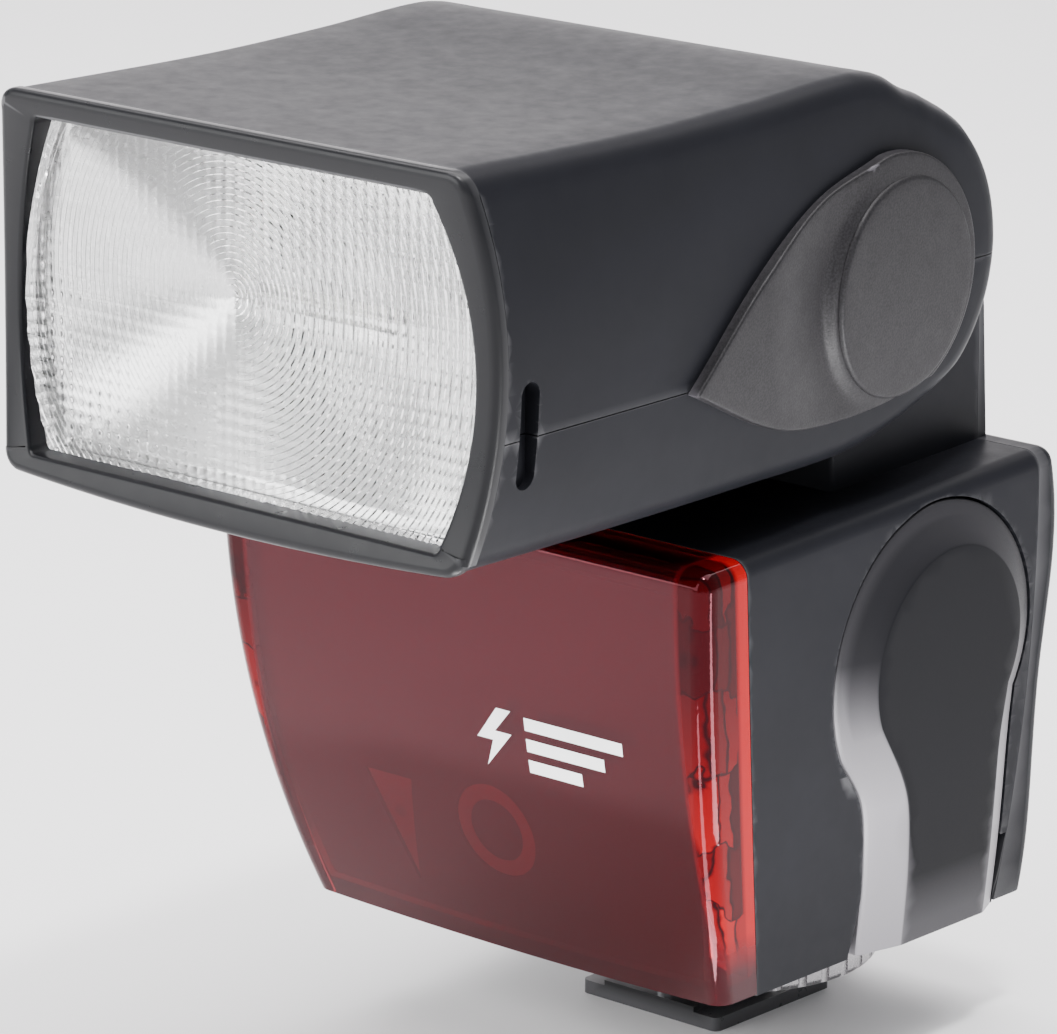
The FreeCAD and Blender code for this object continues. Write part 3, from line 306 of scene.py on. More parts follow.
def floor_strip(name, centre, size, turn, power):
    """Small lamp lying on the floor and shining up, kept out of direct sight."""
    lamp = area_light(name, (*centre, 0.001), (*centre, 1.0), size, power)
    lamp.rotation_mode = "XYZ"
    lamp.rotation_euler = (math.pi, 0.0, turn)
    lamp.visible_camera = False


FLOOR_REACH = 3.0
WORLD_COLOUR, WORLD_STRENGTH = (0.92, 0.93, 0.95, 1.0), 0.6
MIDDLE = (-0.01, -0.03, 0.06)


def build_stage():
    mesh = bpy.data.meshes.new("floor")
    corners = [(x * FLOOR_REACH, y * FLOOR_REACH, 0.0) for x, y in ((-1, -1), (1, -1), (1, 1), (-1, 1))]
    mesh.from_pydata(corners, [], [(0, 1, 2, 3)])
    floor = bpy.data.objects.new("floor", mesh)
    bpy.context.scene.collection.objects.link(floor)
    paper = Shader("floor_paper", Roughness=0.7)
    paper.set("Base Color", paper.mix(paper.noise(0.02), (0.86, 0.86, 0.87), (0.9, 0.9, 0.9)))
    paper.bump(paper.noise(2.0), 0.1, 0.02)
    mesh.materials.append(paper.material)
    world = bpy.data.worlds.new("studio")
    world.use_nodes = True
    background = world.node_tree.nodes["Background"].inputs
    background["Color"].default_value = WORLD_COLOUR
    background["Strength"].default_value = WORLD_STRENGTH
    bpy.context.scene.world = world
    area_light("top_softbox", (-0.1, 0.1, 0.9), MIDDLE, (1.1, 0.9), 20.0, (1.0, 0.97, 0.98))
    area_light("front_panel", (-0.35, -1.1, 0.5), MIDDLE, (1.4, 0.9), 26.0)
    area_light("back_panel", (-0.86, 0.99, 0.36), MIDDLE, (1.4, 0.6), 7.5, (1.0, 0.95, 0.97))
    floor_strip("front_strip", (0.036, -0.078), (0.012, 0.075), 0.0, 0.06)
    floor_strip("right_strip", (0.15, -0.035), (0.16, 0.03), -0.1, 0.45)
    area_light("corner_spot", (0.23, -0.15, 0.9), (0.03, -0.04, 0.06), (0.09, 0.09), 6.0)


# Camera: a three-quarter view from the front right, as an orbit about a point of the flash.
CAMERA_AZIMUTH, CAMERA_ELEVATION, CAMERA_ROLL = 40.8, 15.23, 0.69
CAMERA_DISTANCE_MM = 630.34
CAMERA_TARGET_MM = (-27.84, 0.0, 46.92)
CAMERA_LENS = 197.74
SENSOR_WIDTH = 36.0


def build_camera():
    azimuth, elevation, roll = map(math.radians, (CAMERA_AZIMUTH, CAMERA_ELEVATION, CAMERA_ROLL))
    back = Vector((math.sin(azimuth) * math.cos(elevation), -math.cos(azimuth) * math.cos(elevation),
                   math.sin(elevation)))
    right = Vector((math.cos(azimuth), math.sin(azimuth), 0.0))
    up = back.cross(right)
    rolled_right = math.cos(roll) * right + math.sin(roll) * up
    rolled_up = math.cos(roll) * up - math.sin(roll) * right
    data = bpy.data.cameras.new("camera")
    data.sensor_width = SENSOR_WIDTH
    data.lens = CAMERA_LENS
    data.clip_start, data.clip_end = 0.01, 20.0
    camera = bpy.data.objects.new("camera", data)
    axes = Matrix((rolled_right, rolled_up, back)).transposed()
    place = (Vector(CAMERA_TARGET_MM) + back * CAMERA_DISTANCE_MM) * MM
    camera.matrix_world = Matrix.Translation(place) @ axes.to_4x4()
    bpy.context.scene.collection.objects.link(camera)
    bpy.context.scene.camera = camera


# ---- outlines and meshes, in millimetres ------------------------------------------------------
SAME_POINT_MM = 1e-6
MERGE_DISTANCE = 1e-7
FAR = 50.0                       # cutters reach this far to both sides


def circle_through(a, b, c):
    """Centre and radius of the circle through three points of a plane."""
    d = 2 * (a.x * (b.y - c.y) + b.x * (c.y - a.y) + c.x * (a.y - b.y))
    aa, bb, cc = (p.length_squared for p in (a, b, c))
    centre = Vector(((aa * (b.y - c.y) + bb * (c.y - a.y) + cc * (a.y - b.y)) / d,
                     (aa * (c.x - b.x) + bb * (a.x - c.x) + cc * (b.x - a.x)) / d))
    return centre, (a - centre).length


def along_arc(a, b, c, pitch):
    """Points along the arc that runs from a through b to c, without a itself."""
    centre, radius = circle_through(a, b, c)
    first, middle, last = (math.atan2(p.y - centre.y, p.x - centre.x) for p in (a, b, c))
    turn = (last - first) % math.tau
    if (middle - first) % math.tau > turn:
        turn -= math.tau
    count = max(2, math.ceil(abs(turn) * radius / pitch))
    angles = [first + turn * n / count for n in range(1, count + 1)]
    return [centre + radius * Vector((math.cos(angle), math.sin(angle))) for angle in angles]


def along_curve(points, pitch):
    """Smooth line through the points, each stretch a cubic whose ends share their slope."""
    slopes = []
    for n, point in enumerate(points):
        before, after = points[max(n - 1, 0)], points[min(n + 1, len(points) - 1)]
        slopes.append((after - before) / ((after - point).length + (point - before).length))
    traced = []
    for n in range(len(points) - 1):
        a, b = points[n], points[n + 1]
        span = (b - a).length
        count = max(2, math.ceil(span / pitch))
        for step in range(1, count + 1):
            t = step / count
            traced.append((2 * t**3 - 3 * t**2 + 1) * a + (t**3 - 2 * t**2 + t) * span * slopes[n]
                          + (3 * t**2 - 2 * t**3) * b + (t**3 - t**2) * span * slopes[n + 1])
    return traced


def trace(start, *steps, pitch=0.7):
    """Closed line of points; steps are ("line", end), ("arc", middle, end) or ("curve", ...)."""
    traced = [Vector(start)]
    for kind, *points in steps:
        points = [traced[-1]] + [Vector(point) for point in points]
        if kind == "arc":
            traced += along_arc(*points, pitch)
        elif kind == "curve":
            traced += along_curve(points, pitch)
        else:
            count = max(1, math.ceil((points[1] - points[0]).length / pitch))
            traced += [points[0].lerp(points[1], n / count) for n in range(1, count + 1)]
    if (traced[-1] - traced[0]).length < SAME_POINT_MM:
        traced.pop()
    return traced


def inward(outline):
    """Unit normal at every point of a closed line, towards its inside."""
    area = sum(a.cross(b) for a, b in zip(outline, outline[1:] + outline[:1]))
    side = 1.0 if area > 0 else -1.0
    normals = []
    for n, point in enumerate(outline):
        ahead = (outline[(n + 1) % len(outline)] - point).normalized()
        behind = (point - outline[n - 1]).normalized()
        way = (ahead + behind).normalized()
        normals.append(side * Vector((-way.y, way.x)))
    return normals


def inset(outline, depths):
    return [point + normal * depth for point, normal, depth in zip(outline, inward(outline), depths)]


def inside(point, outline):
    hit = False
    for a, b in zip(outline, outline[1:] + outline[:1]):
        if (a.y > point.y) != (b.y > point.y) and point.x < (b.x - a.x) * (point.y - a.y) / (b.y - a.y) + a.x:
            hit = not hit
    return hit


def filled(outline, pitch):
    """Points added inside a closed line, and triangles over all of them."""
    core = inset(outline, [0.45 * pitch] * len(outline))
    low = Vector((min(p.x for p in core), min(p.y for p in core)))
    high = Vector((max(p.x for p in core), max(p.y for p in core)))
    extra = []
    for row in range(int((high.y - low.y) / pitch) + 1):
        for column in range(int((high.x - low.x) / pitch) + 1):
            point = low + pitch * Vector((column + 0.5 * (row % 2), row))
            if inside(point, core):
                extra.append(point)
    every = outline + extra
    made = delaunay_2d_cdt(every, [], [list(range(len(outline)))], 1, 1e-5)
    numbers = []
    for place, origins in zip(made[0], made[3]):
        numbers.append(origins[0] if origins else len(outline) + len(extra))
        if not origins:
            extra.append(place)
    return extra, [tuple(numbers[corner] for corner in face) for face in made[2]]


def new_piece(name, points, faces, material):
    """Mesh object from points in millimetres, cleaned and with its normals outwards."""
    mesh = bpy.data.meshes.new(name)
    mesh.from_pydata([tuple(c * MM for c in point) for point in points], [], faces)
    tidy = bmesh.new()
    tidy.from_mesh(mesh)
    bmesh.ops.remove_doubles(tidy, verts=tidy.verts, dist=MERGE_DISTANCE)
    bmesh.ops.dissolve_degenerate(tidy, edges=tidy.edges, dist=MERGE_DISTANCE)
    bmesh.ops.recalc_face_normals(tidy, faces=tidy.faces)
    tidy.to_mesh(mesh)
    tidy.free()
    mesh.materials.append(MATERIALS[material])
    piece = bpy.data.objects.new(name, mesh)
    bpy.context.scene.collection.objects.link(piece)
    return piece


def finished(piece, body, slot, *nodes, angle=32.0):
    """Smooth shading below the given angle, the body it rides and the nodes it replaces; its slot is not
    used.
    """
    piece.data.shade_smooth()
    piece.data.set_sharp_from_angle(angle=math.radians(angle))
    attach(piece, body)
    if nodes:
        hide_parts(*nodes)
    return piece


def carve(piece, cutter, operation="DIFFERENCE"):
    """Cut the piece with a cutter, or keep what both share, and remove the cutter."""
    step = piece.modifiers.new("carve", "BOOLEAN")
    step.operation, step.object, step.solver = operation, cutter, "EXACT"
    graph = bpy.context.evaluated_depsgraph_get()
    mesh = bpy.data.meshes.new_from_object(piece.evaluated_get(graph))
    piece.modifiers.clear()
    piece.data = mesh
    bpy.data.objects.remove(cutter)


def copy_of(piece, name):
    twin = piece.copy()
    twin.data = piece.data.copy()
    twin.name = name
    bpy.context.scene.collection.objects.link(twin)
    return twin


def skin(loops, closed=True):
    """Quads between loops of equal length, given as index lists."""
    faces = []
    for lower, upper in zip(loops, loops[1:]):
        count = len(lower)
        for n in range(count if closed else count - 1):
            m = (n + 1) % count
            faces.append((lower[n], lower[m], upper[m], upper[n]))
    return faces


def numbered(loops):
    """All points of the loops in one list, and each loop as the numbers of its points."""
    points, rows = [], []
    for loop in loops:
        rows.append(list(range(len(points), len(points) + len(loop))))
        points += loop
    return points, rows


def fill_in(points, faces, row, outline, pitch, place):
    """Cover a closed row of numbered points with triangles; place puts the added points in space."""
    extra, triangles = filled(outline, pitch)
    start, count = len(points), len(outline)
    points += [place(p) for p in extra]
    faces += [tuple(row[n] if n < count else start + n - count for n in face) for face in triangles]


def plate(name, outline, place, top, base, radius, material, pitch, steps):
    """Solid plate over an outline: walls, a rounded rim of the given radius and a filled face."""
    loops = [[place(p.x, p.y, base(p.x, p.y)) for p in outline]]
    for step in range(steps + 1):
        angle = math.pi / 2 * step / steps
        line = inset(outline, [radius * (1 - math.cos(angle))] * len(outline))
        drop = radius * (1 - math.sin(angle))
        loops.append([place(p.x, p.y, top(p.x, p.y) - drop) for p in line])
    points, rows = numbered(loops)
    faces = skin(rows)
    fill_in(points, faces, rows[-1], line, pitch, lambda p: place(p.x, p.y, top(p.x, p.y)))
    fill_in(points, faces, rows[0], outline, 3 * pitch, lambda p: place(p.x, p.y, base(p.x, p.y)))
    return new_piece(name, points, faces, material)


def no_lift(x, y, z):
    return 0.0


def bar(name, outline, half, radii, material, lift=no_lift, columns=10, pitch=1.6, steps=6):
    """Solid symmetric about x = 0: an outline in (y, z), a half width there, and rounded side edges."""
    def spot(x, p):
        return (x, p.x, p.y + lift(x, p.x, p.y))

    loops = []
    for step in range(steps, -1, -1):
        angle = math.pi / 2 * step / steps
        line = inset(outline, [r * (1 - math.cos(angle)) for r in radii])
        loops.append([spot(-half(p.x, p.y) + r * (1 - math.sin(angle)), p) for p, r in zip(line, radii)])
    for column in range(1, columns):
        share = 2 * column / columns - 1
        loops.append([spot(share * (half(p.x, p.y) - r), p) for p, r in zip(outline, radii)])
    loops += [[(-x, y, z) for x, y, z in loop] for loop in loops[steps::-1]]
    points, rows = numbered(loops)
    faces = skin(rows)
    line = inset(outline, radii)
    for sign, row in ((-1, rows[0]), (1, rows[-1])):
        fill_in(points, faces, row, line, pitch, lambda p: spot(sign * half(p.x, p.y), p))
    return new_piece(name, points, faces, material)


def block(name, outline, axis, low, high):
    """Plain prism of an outline along x or y, used as a cutter."""
    order = {"x": lambda u, v, w: (w, u, v), "y": lambda u, v, w: (u, w, v)}[axis]
    loops = [[order(p.x, p.y, w) for p in outline] for w in (low, high)]
    points, rows = numbered(loops)
    return new_piece(name, points, skin(rows) + [tuple(rows[0]), tuple(rows[1])], "inner_plastic")


def on_circle(centre, radius, turns):
    x, y = centre
    return [Vector((x + radius * math.cos(turn), y + radius * math.sin(turn))) for turn in turns]


def ring_line(radius, centre, count=96):
    return on_circle(centre, radius, [math.tau * n / count for n in range(count)])


def vectors(*pairs):
    return [Vector(pair) for pair in pairs]


def bow(z0, z1, z2, x0, x1, x2):
    """Circle arc through three (x, z) points, as a function of z."""
    centre, radius = circle_through(Vector((x0, z0)), Vector((x1, z1)), Vector((x2, z2)))
    sign = 1.0 if x1 > centre.x else -1.0
    return lambda z: centre.x + sign * math.sqrt(max(radius**2 - (z - centre.y)**2, 0.0))


# ---- head ------------------------------------------------------------------------------------
PIVOT = (-14.9, 85.6)
EAR_Y, EAR_RADIUS = -11.9, 17.46
EAR_INNER, NECK_ROOM_RADIUS = 25.2, 16.9
FRONT_Y, FRONT_DISH, BEZEL_DEPTH = -77.0, 2.6, 1.7
STOCK_Y, HEAD_SPAN = -80.0, 88.0            # the head is shaped overlong and cut back at its front
TOP_Z, BELLY_Z, CHIN_Z = 104.9, 65.6, 66.8
EDGE_RADIUS, EAR_EDGE_EXTRA = 2.4, 0.8
SEAM_GAP = 0.12
PARTING_FRONT_Z, PARTING_REAR_Z = 79.3, 84.8
SLOT_Y, SLOT_HALF, SLOT_LOW, SLOT_HIGH, SLOT_FLOOR_X = -69.4, 1.3, 75.6, 83.4, 30.4
CHAMBER_ROOM, CHAMBER_BACK_Y = 0.5, -46.0
front_half = bow(66.8, 84.0, 106.9, 30.1, 32.4, 29.2)
rear_half = bow(66.8, 84.0, 106.9, 29.4, 30.6, 30.2)
dished_front = bow(65.6, 84.5, 104.9, FRONT_Y, FRONT_Y + FRONT_DISH, FRONT_Y)


def clamped(share):
    return min(max(share, 0.0), 1.0)


def smooth(share):
    share = clamped(share)
    return share * share * (3 - 2 * share)


def head_half(y, z):
    """Half width of the head, from its front section to its rear one."""
    share = (y - STOCK_Y) / HEAD_SPAN
    return front_half(z) * (1 - share) + rear_half(z) * share


def belly_lift(x, y, z):
    """The underside bows up towards its sides."""
    return (CHIN_Z - BELLY_Z) * clamped((74.0 - z) / 6.0) * (x / 30.0)**2


def head_solid(name):
    ear = on_circle((EAR_Y, PIVOT[1]), EAR_RADIUS, [math.radians(angle) for angle in range(72, -60, -24)])
    outline = trace(
        (STOCK_Y, BELLY_Z), ("line", (STOCK_Y, TOP_Z)), ("line", (-76.0, TOP_Z)),
        ("curve", (-50.0, 104.65), (-33.0, 105.1), (-18.0, 105.85), (-13.4, 105.2), (-9.9, 103.5), *ear,
         (-9.2, 67.9), (-17.0, 66.2), (-32.0, 65.8), (-50.0, BELLY_Z), (STOCK_Y, BELLY_Z)))
    radii = []
    for point in outline:
        behind_front, near_ear = clamped((point.x - STOCK_Y) / EDGE_RADIUS), clamped((point.x + 20.0) / 14.0)
        radii.append(EDGE_RADIUS * behind_front + EAR_EDGE_EXTRA * near_ear)
    return bar(name, outline, head_half, radii, "shell_plastic", belly_lift, columns=12)


def front_zone(name, depth):
    """Everything ahead of the dished line at the given depth behind the front."""
    levels = [60.0 + 50.0 * n / 40 for n in range(41)]
    outline = [Vector((dished_front(z) + depth, z)) for z in levels]
    return block(name, outline + vectors((-95.0, 110.0), (-95.0, 60.0)), "x", -FAR, FAR)


def parting_zone(name, shift):
    """Everything above the parting line of the two head shells, moved up by the given shift."""
    front, rear = PARTING_FRONT_Z + shift, PARTING_REAR_Z + shift
    outline = vectors(
        (-90.0, front), (-44.0, front), (-30.0, rear), (20.0, rear), (20.0, 130.0), (-90.0, 130.0))
    return block(name, outline, "x", -FAR, FAR)


WINDOW_LOW, WINDOW_HIGH, WINDOW_CORNER = 68.6, 102.3, 0.8
window_half = bow(68.6, 83.0, 102.3, 26.6, 29.6, 25.4)
RIM_Y = -72.6                    # back of the opening in the bezel
LENS_Y, LENS_THICK = -73.7, 2.0


def build_head():
    """Both head shells: one solid, hollowed and slotted, then parted along the seam."""
    solid = head_solid("head_upper_cover")
    carve(solid, block("neck_room", ring_line(NECK_ROOM_RADIUS, PIVOT), "x", -EAR_INNER, EAR_INNER))
    behind = vectors((PIVOT[0], 50.0), (30.0, 50.0), (30.0, 120.0), (PIVOT[0], 120.0))
    carve(solid, block("behind_room", behind, "x", -EAR_INNER, EAR_INNER))
    carve(solid, front_zone("front_zone", BEZEL_DEPTH + SEAM_GAP))
    chamber = frame_line(
        WINDOW_LOW - 0.4, WINDOW_HIGH + CHAMBER_ROOM, lambda z: window_half(z) + CHAMBER_ROOM, 1.0)
    carve(solid, block("chamber", chamber, "y", -90.0, CHAMBER_BACK_Y))
    front, rear = SLOT_Y - SLOT_HALF, SLOT_Y + SLOT_HALF
    slot = trace((front, SLOT_LOW), ("arc", (SLOT_Y, SLOT_LOW - SLOT_HALF), (rear, SLOT_LOW)),
                 ("line", (rear, SLOT_HIGH)), ("arc", (SLOT_Y, SLOT_HIGH + SLOT_HALF), (front, SLOT_HIGH)),
                 ("line", (front, SLOT_LOW)), pitch=0.25)
    for low, high in ((-FAR, -SLOT_FLOOR_X), (SLOT_FLOOR_X, FAR)):
        carve(solid, block("slot", slot, "x", low, high))
    lower = copy_of(solid, "head_lower_cover")
    carve(solid, parting_zone("above", SEAM_GAP / 2), "INTERSECT")
    carve(lower, parting_zone("above", -SEAM_GAP / 2))
    finished(solid, "head", "shell_plastic", "head_upper_shell")
    finished(lower, "head", "shell_plastic", "head_lower_shell")


def frame_line(low_z, high_z, half, corner, count=24):
    """Closed four-sided line in (x, z) with rounded corners and bowed sides, evenly numbered."""
    def corner_points(x, z, quarter):
        return on_circle((x, z), corner, [math.pi / 2 * (quarter + n / 8) for n in range(1, 8)])

    z0, z1 = low_z + corner, high_z - corner
    levels = [z0 + (z1 - z0) * n / count for n in range(count + 1)]
    right = [Vector((half(z), z)) for z in levels]
    low_x, top_x = right[0].x - corner, right[-1].x - corner
    line = right + corner_points(top_x, z1, 0)
    line += [Vector((top_x * (1 - 2 * n / count), high_z)) for n in range(count + 1)]
    line += corner_points(-top_x, z1, 1)
    line += [Vector((-p.x, p.y)) for p in reversed(right)]
    line += corner_points(-low_x, z0, 2)
    line += [Vector((-low_x * (1 - 2 * n / count), low_z)) for n in range(count + 1)]
    return line + corner_points(low_x, z0, 3)


BEZEL_ROUND, BEZEL_LIP, BEZEL_RETURN = 1.0, 0.45, 2.0
BEZEL_RETURN_INSET, RIM_WIDTH = 1.9, 0.8


def build_bezel():
    """Dished frame: a rounded outer edge, a small lip round the opening and a rim behind it."""
    steps = 6
    outer = frame_line(BELLY_Z, TOP_Z, lambda z: head_half(FRONT_Y, z), EDGE_RADIUS)
    opening = frame_line(WINDOW_LOW, WINDOW_HIGH, window_half, WINDOW_CORNER)

    def spot(p, depth):
        lift = belly_lift(p.x, 0.0, p.y) if p.y < 68.0 else 0.0
        return (p.x, dished_front(min(max(p.y, BELLY_Z), TOP_Z)) + depth, p.y + lift)

    returned = inset(outer, [BEZEL_RETURN_INSET] * len(outer))
    starts = ((returned, BEZEL_DEPTH + BEZEL_RETURN), (returned, BEZEL_DEPTH), (outer, BEZEL_DEPTH))
    loops = [[spot(p, depth) for p in line] for line, depth in starts]
    turns = [math.pi / 2 * step / steps for step in range(steps + 1)]
    for turn in turns:
        line = inset(outer, [BEZEL_ROUND * (1 - math.cos(turn))] * len(outer))
        loops.append([spot(p, BEZEL_ROUND * (1 - math.sin(turn))) for p in line])
    for turn in turns:
        line = inset(opening, [-BEZEL_LIP * (1 - math.sin(turn))] * len(opening))
        loops.append([spot(p, BEZEL_LIP * (1 - math.cos(turn))) for p in line])
    loops.append([(p.x, RIM_Y, p.y) for p in opening])
    loops.append([(p.x, RIM_Y, p.y) for p in inset(opening, [-RIM_WIDTH] * len(opening))])
    points, rows = numbered(loops)
    rows.append(rows[0])
    piece = new_piece("bezel_ring", points, skin(rows), "bezel_plastic")
    finished(piece, "head", "bezel_plastic", "front_bezel", angle=50.0)


FRESNEL_CENTRE, FRESNEL_PITCH, FRESNEL_RINGS = (-1.5, 88.0), 0.62, 68
GROOVE_DEPTH, GROOVE_GROWTH, GROOVE_SLOPE_SHARE = 0.16, 0.12, 0.86
LENS_FIT, LENS_BACK_CUT = 0.04, 0.2


def build_lens():
    """Fresnel panel: concentric sawtooth rings on its front, cut to the outline of the window."""
    count = 160
    loops = []
    for ring in range(FRESNEL_RINGS):
        rise = GROOVE_DEPTH + GROOVE_GROWTH * ring / FRESNEL_RINGS
        inner = max(FRESNEL_PITCH * ring, 0.02)
        outer = FRESNEL_PITCH * (ring + GROOVE_SLOPE_SHARE)
        loops.append([(p.x, LENS_Y + rise, p.y) for p in ring_line(inner, FRESNEL_CENTRE, count)])
        loops.append([(p.x, LENS_Y, p.y) for p in ring_line(outer, FRESNEL_CENTRE, count)])
    edge = ring_line(FRESNEL_PITCH * FRESNEL_RINGS, FRESNEL_CENTRE, count)
    loops.append([(p.x, LENS_Y + LENS_THICK, p.y) for p in edge])
    points, rows = numbered(loops)
    disc = new_piece("fresnel_panel", points, skin(rows) + [tuple(rows[0]), tuple(rows[-1])], "lens_acrylic")
    outline = frame_line(
        WINDOW_LOW + LENS_FIT, WINDOW_HIGH - LENS_FIT, lambda z: window_half(z) - LENS_FIT, WINDOW_CORNER)
    back = LENS_Y + LENS_THICK - LENS_BACK_CUT
    carve(disc, block("panel_edge", outline, "y", LENS_Y - 1.0, back), "INTERSECT")
    finished(disc, "head", "lens_acrylic", "fresnel_lens", angle=12.0)


REFLECTOR_MOUTH_Y, REFLECTOR_BACK_Y = LENS_Y + LENS_THICK + 0.1, -56.0
REFLECTOR_Z, REFLECTOR_HALF_HEIGHT = 85.45, 16.9
REFLECTOR_STRAIGHT = 0.33        # share of the half width over which the trough runs straight
SHEET_THICK = 0.4


def build_reflector():
    """Bright bowl: a parabola in side view, straight in its middle and closing in at both ends."""
    across_count, up_count = 56, 40
    loops = []
    for row in range(up_count + 1):
        v = 2 * row / up_count - 1
        z = REFLECTOR_Z + REFLECTOR_HALF_HEIGHT * v
        line = []
        for column in range(across_count + 1):
            u = 2 * column / across_count - 1
            end = max(0.0, (abs(u) - REFLECTOR_STRAIGHT) / (1 - REFLECTOR_STRAIGHT))
            share = 1 - (1 - v * v) * (1 - end * end)
            y = REFLECTOR_BACK_Y + (REFLECTOR_MOUTH_Y - REFLECTOR_BACK_Y) * share
            line.append((u * (window_half(z) + 0.2), y, z))
        loops.append(line)
    points, rows = numbered(loops)
    piece = new_piece("reflector_bowl", points, skin(rows, closed=False), "reflector_metal")
    thick = piece.modifiers.new("sheet", "SOLIDIFY")
    thick.thickness, thick.offset = SHEET_THICK * MM, 0.0
    finished(piece, "head", "reflector_metal", "reflector", angle=40.0)


# ---- tilt caps -------------------------------------------------------------------------------
CAP_CENTRE, CAP_RADIUS, CAP_TIP = (-14.3, 85.0), 13.0, (-45.8, 79.1)
CAP_RISE, HOLLOW_DEPTH = 1.25, 0.95
DISC_CENTRE, DISC_RADIUS = (-12.9, 84.2), 11.3
BOSS_RISE, BOSS_LEAN_Y, BOSS_LEAN_Z = 0.25, 0.022, 0.003


def cap_line():
    """Teardrop: a round behind, drawn out to a tip in front."""
    top = (-16.4, CAP_CENTRE[1] + CAP_RADIUS - 0.2)
    return trace(
        CAP_TIP, ("curve", (-36.2, 88.4), (-26.4, 94.8), top),
        ("arc", *on_circle(CAP_CENTRE, CAP_RADIUS, (0.35, -1.0))),
        ("curve", (-20.3, 71.9), (-32.0, 73.1), CAP_TIP), pitch=0.55)


def cap_height(y, z):
    """Height above the head's side: a hollow sweeps up and back from near the tip to the disc."""
    away = math.hypot(y - DISC_CENTRE[0], z - DISC_CENTRE[1])
    angle = math.atan2(z - DISC_CENTRE[1], DISC_CENTRE[0] - y)
    facing = smooth((1.5 - abs(angle + 0.2)) / 1.1)
    hollow = smooth((away - DISC_RADIUS) / 1.5) * smooth((DISC_RADIUS + 11.0 - away) / 9.0)
    return CAP_RISE - HOLLOW_DEPTH * hollow * facing


def build_cap(side, node):
    """Teardrop cap with a separate round boss: proud at its front, level with the cap behind."""
    def face(y, z):
        return head_half(y, z) + cap_height(y, z)

    def boss(y, z):
        lean = BOSS_LEAN_Y * (DISC_CENTRE[0] - y) - BOSS_LEAN_Z * (DISC_CENTRE[1] - z)
        return head_half(y, z) + CAP_RISE + BOSS_RISE + lean

    def aside(y, z, x):
        return (side * x, y, z)

    piece = plate("cap_" + node, cap_line(), aside, face, lambda y, z: head_half(y, z) - 0.6, 0.3,
                  "cap_plastic", pitch=0.5, steps=4)
    disc = plate("disc_" + node, ring_line(DISC_RADIUS, DISC_CENTRE), aside, boss,
                 lambda y, z: head_half(y, z) - 0.4, 0.55, "cap_plastic", pitch=1.0, steps=5)
    for part in (piece, disc):
        finished(part, "head", "cap_plastic", node, angle=60.0)


# ---- battery door and side panel -------------------------------------------------------------
DOOR_CENTRE, DOOR_RADIUS = (-6.4, 45.0), 16.1
PLATEAU_CENTRE, PLATEAU_RADIUS, PLATEAU_RISE = (-5.1, 44.6), 11.7, 1.3
PANEL_BOTTOM, DOOR_GAP = 13.0, 0.28
ROUND_STEPS, FLANK_POINTS, FOOT_POINTS = 72, 56, 24
# slope from the panel's edge up to the plateau: share of the way in, and height over the body
SLOPE = ((0.0, -2.2), (0.0, -0.3), (0.02, -0.12), (0.05, -0.02), (0.1, 0.1), (0.35, 0.43), (0.65, 0.86),
         (0.93, 1.22), (0.97, 1.27), (1.0, PLATEAU_RISE))
body_half = bow(13.2, 40.0, 65.3, 27.7, 31.7, 32.5)


def keyhole(centre, radius, left, right, rear, front, corners):
    """Closed line round a keyhole panel, numbered alike for every size of it."""
    angles = [math.radians(left + (right - left) * n / ROUND_STEPS) for n in range(ROUND_STEPS + 1)]
    line = on_circle(centre, radius, angles)
    low_front, low_rear = vectors(*[(y, PANEL_BOTTOM) for y in corners])
    rear_line = along_curve([line[-1], *vectors(*rear), low_rear], 0.3)
    front_line = along_curve([low_front, *vectors(*front), line[0]], 0.3)
    bottom = [low_rear.lerp(low_front, n / FOOT_POINTS) for n in range(1, FOOT_POINTS + 1)]
    for part, count in ((rear_line, FLANK_POINTS), (bottom, FOOT_POINTS), (front_line[:-1], FLANK_POINTS)):
        line += [part[round(n * (len(part) - 1) / (count - 1))] for n in range(count)]
    return line


DOOR_LINE = keyhole(DOOR_CENTRE, DOOR_RADIUS, 212.0, -24.0, ((8.4, 34.5), (8.9, 29.0)),
                    ((-13.8, 24.0), (-15.8, 31.0)), (-11.9, 11.0))
PLATEAU_LINE = keyhole(PLATEAU_CENTRE, PLATEAU_RADIUS, 207.0, -25.0, ((5.2, 34.0), (5.6, 29.0)),
                       ((-8.0, 24.0), (-10.0, 31.0)), (-6.1, 7.8))


def build_door(side, name, body, node):
    """Keyhole panel: a wide sloped band in front, a narrow one behind, and a raised plateau."""
    def spot(p, rise):
        return (side * (body_half(p.y) + rise), p.x, p.y)

    loops = []
    for share, rise in SLOPE:
        loops.append([spot(a.lerp(b, share), rise) for a, b in zip(DOOR_LINE, PLATEAU_LINE)])
    points, rows = numbered(loops)
    faces = skin(rows)
    for line, row, rise in ((PLATEAU_LINE, rows[-1], SLOPE[-1][1]), (DOOR_LINE, rows[0], SLOPE[0][1])):
        fill_in(points, faces, row, line, 1.5, lambda p: spot(p, rise))
    piece = new_piece(name, points, faces, "door_plastic")
    finished(piece, body, "door_plastic", node, angle=20.0)


# ---- body ------------------------------------------------------------------------------------
EDGE_ROUND = 1.85
HINGE_AXIS, HINGE_ROOM_RADIUS, HINGE_ROOM_ENDS = (25.3, 17.0), 5.7, (-13.3, 11.1)
NECK_HALF, NECK_EDGE = 24.6, 0.5
RECESS_X = 25.4                  # floor of the recesses under the door and the side cover
CHAMBER_LEFT_X, CHAMBER_RIGHT_X, BOARD_ROOM_HALF = -27.2, 26.0, 24.0
seam_line = bow(12.0, 40.0, 60.9, -27.9, -35.2, -37.6)


def keel_lift(x, y, z):
    """The bottom of the body bows up from its middle to its corners."""
    return smooth((17.0 - z) / 5.0) * (0.4 + 0.5 * (x / 27.7)**2)


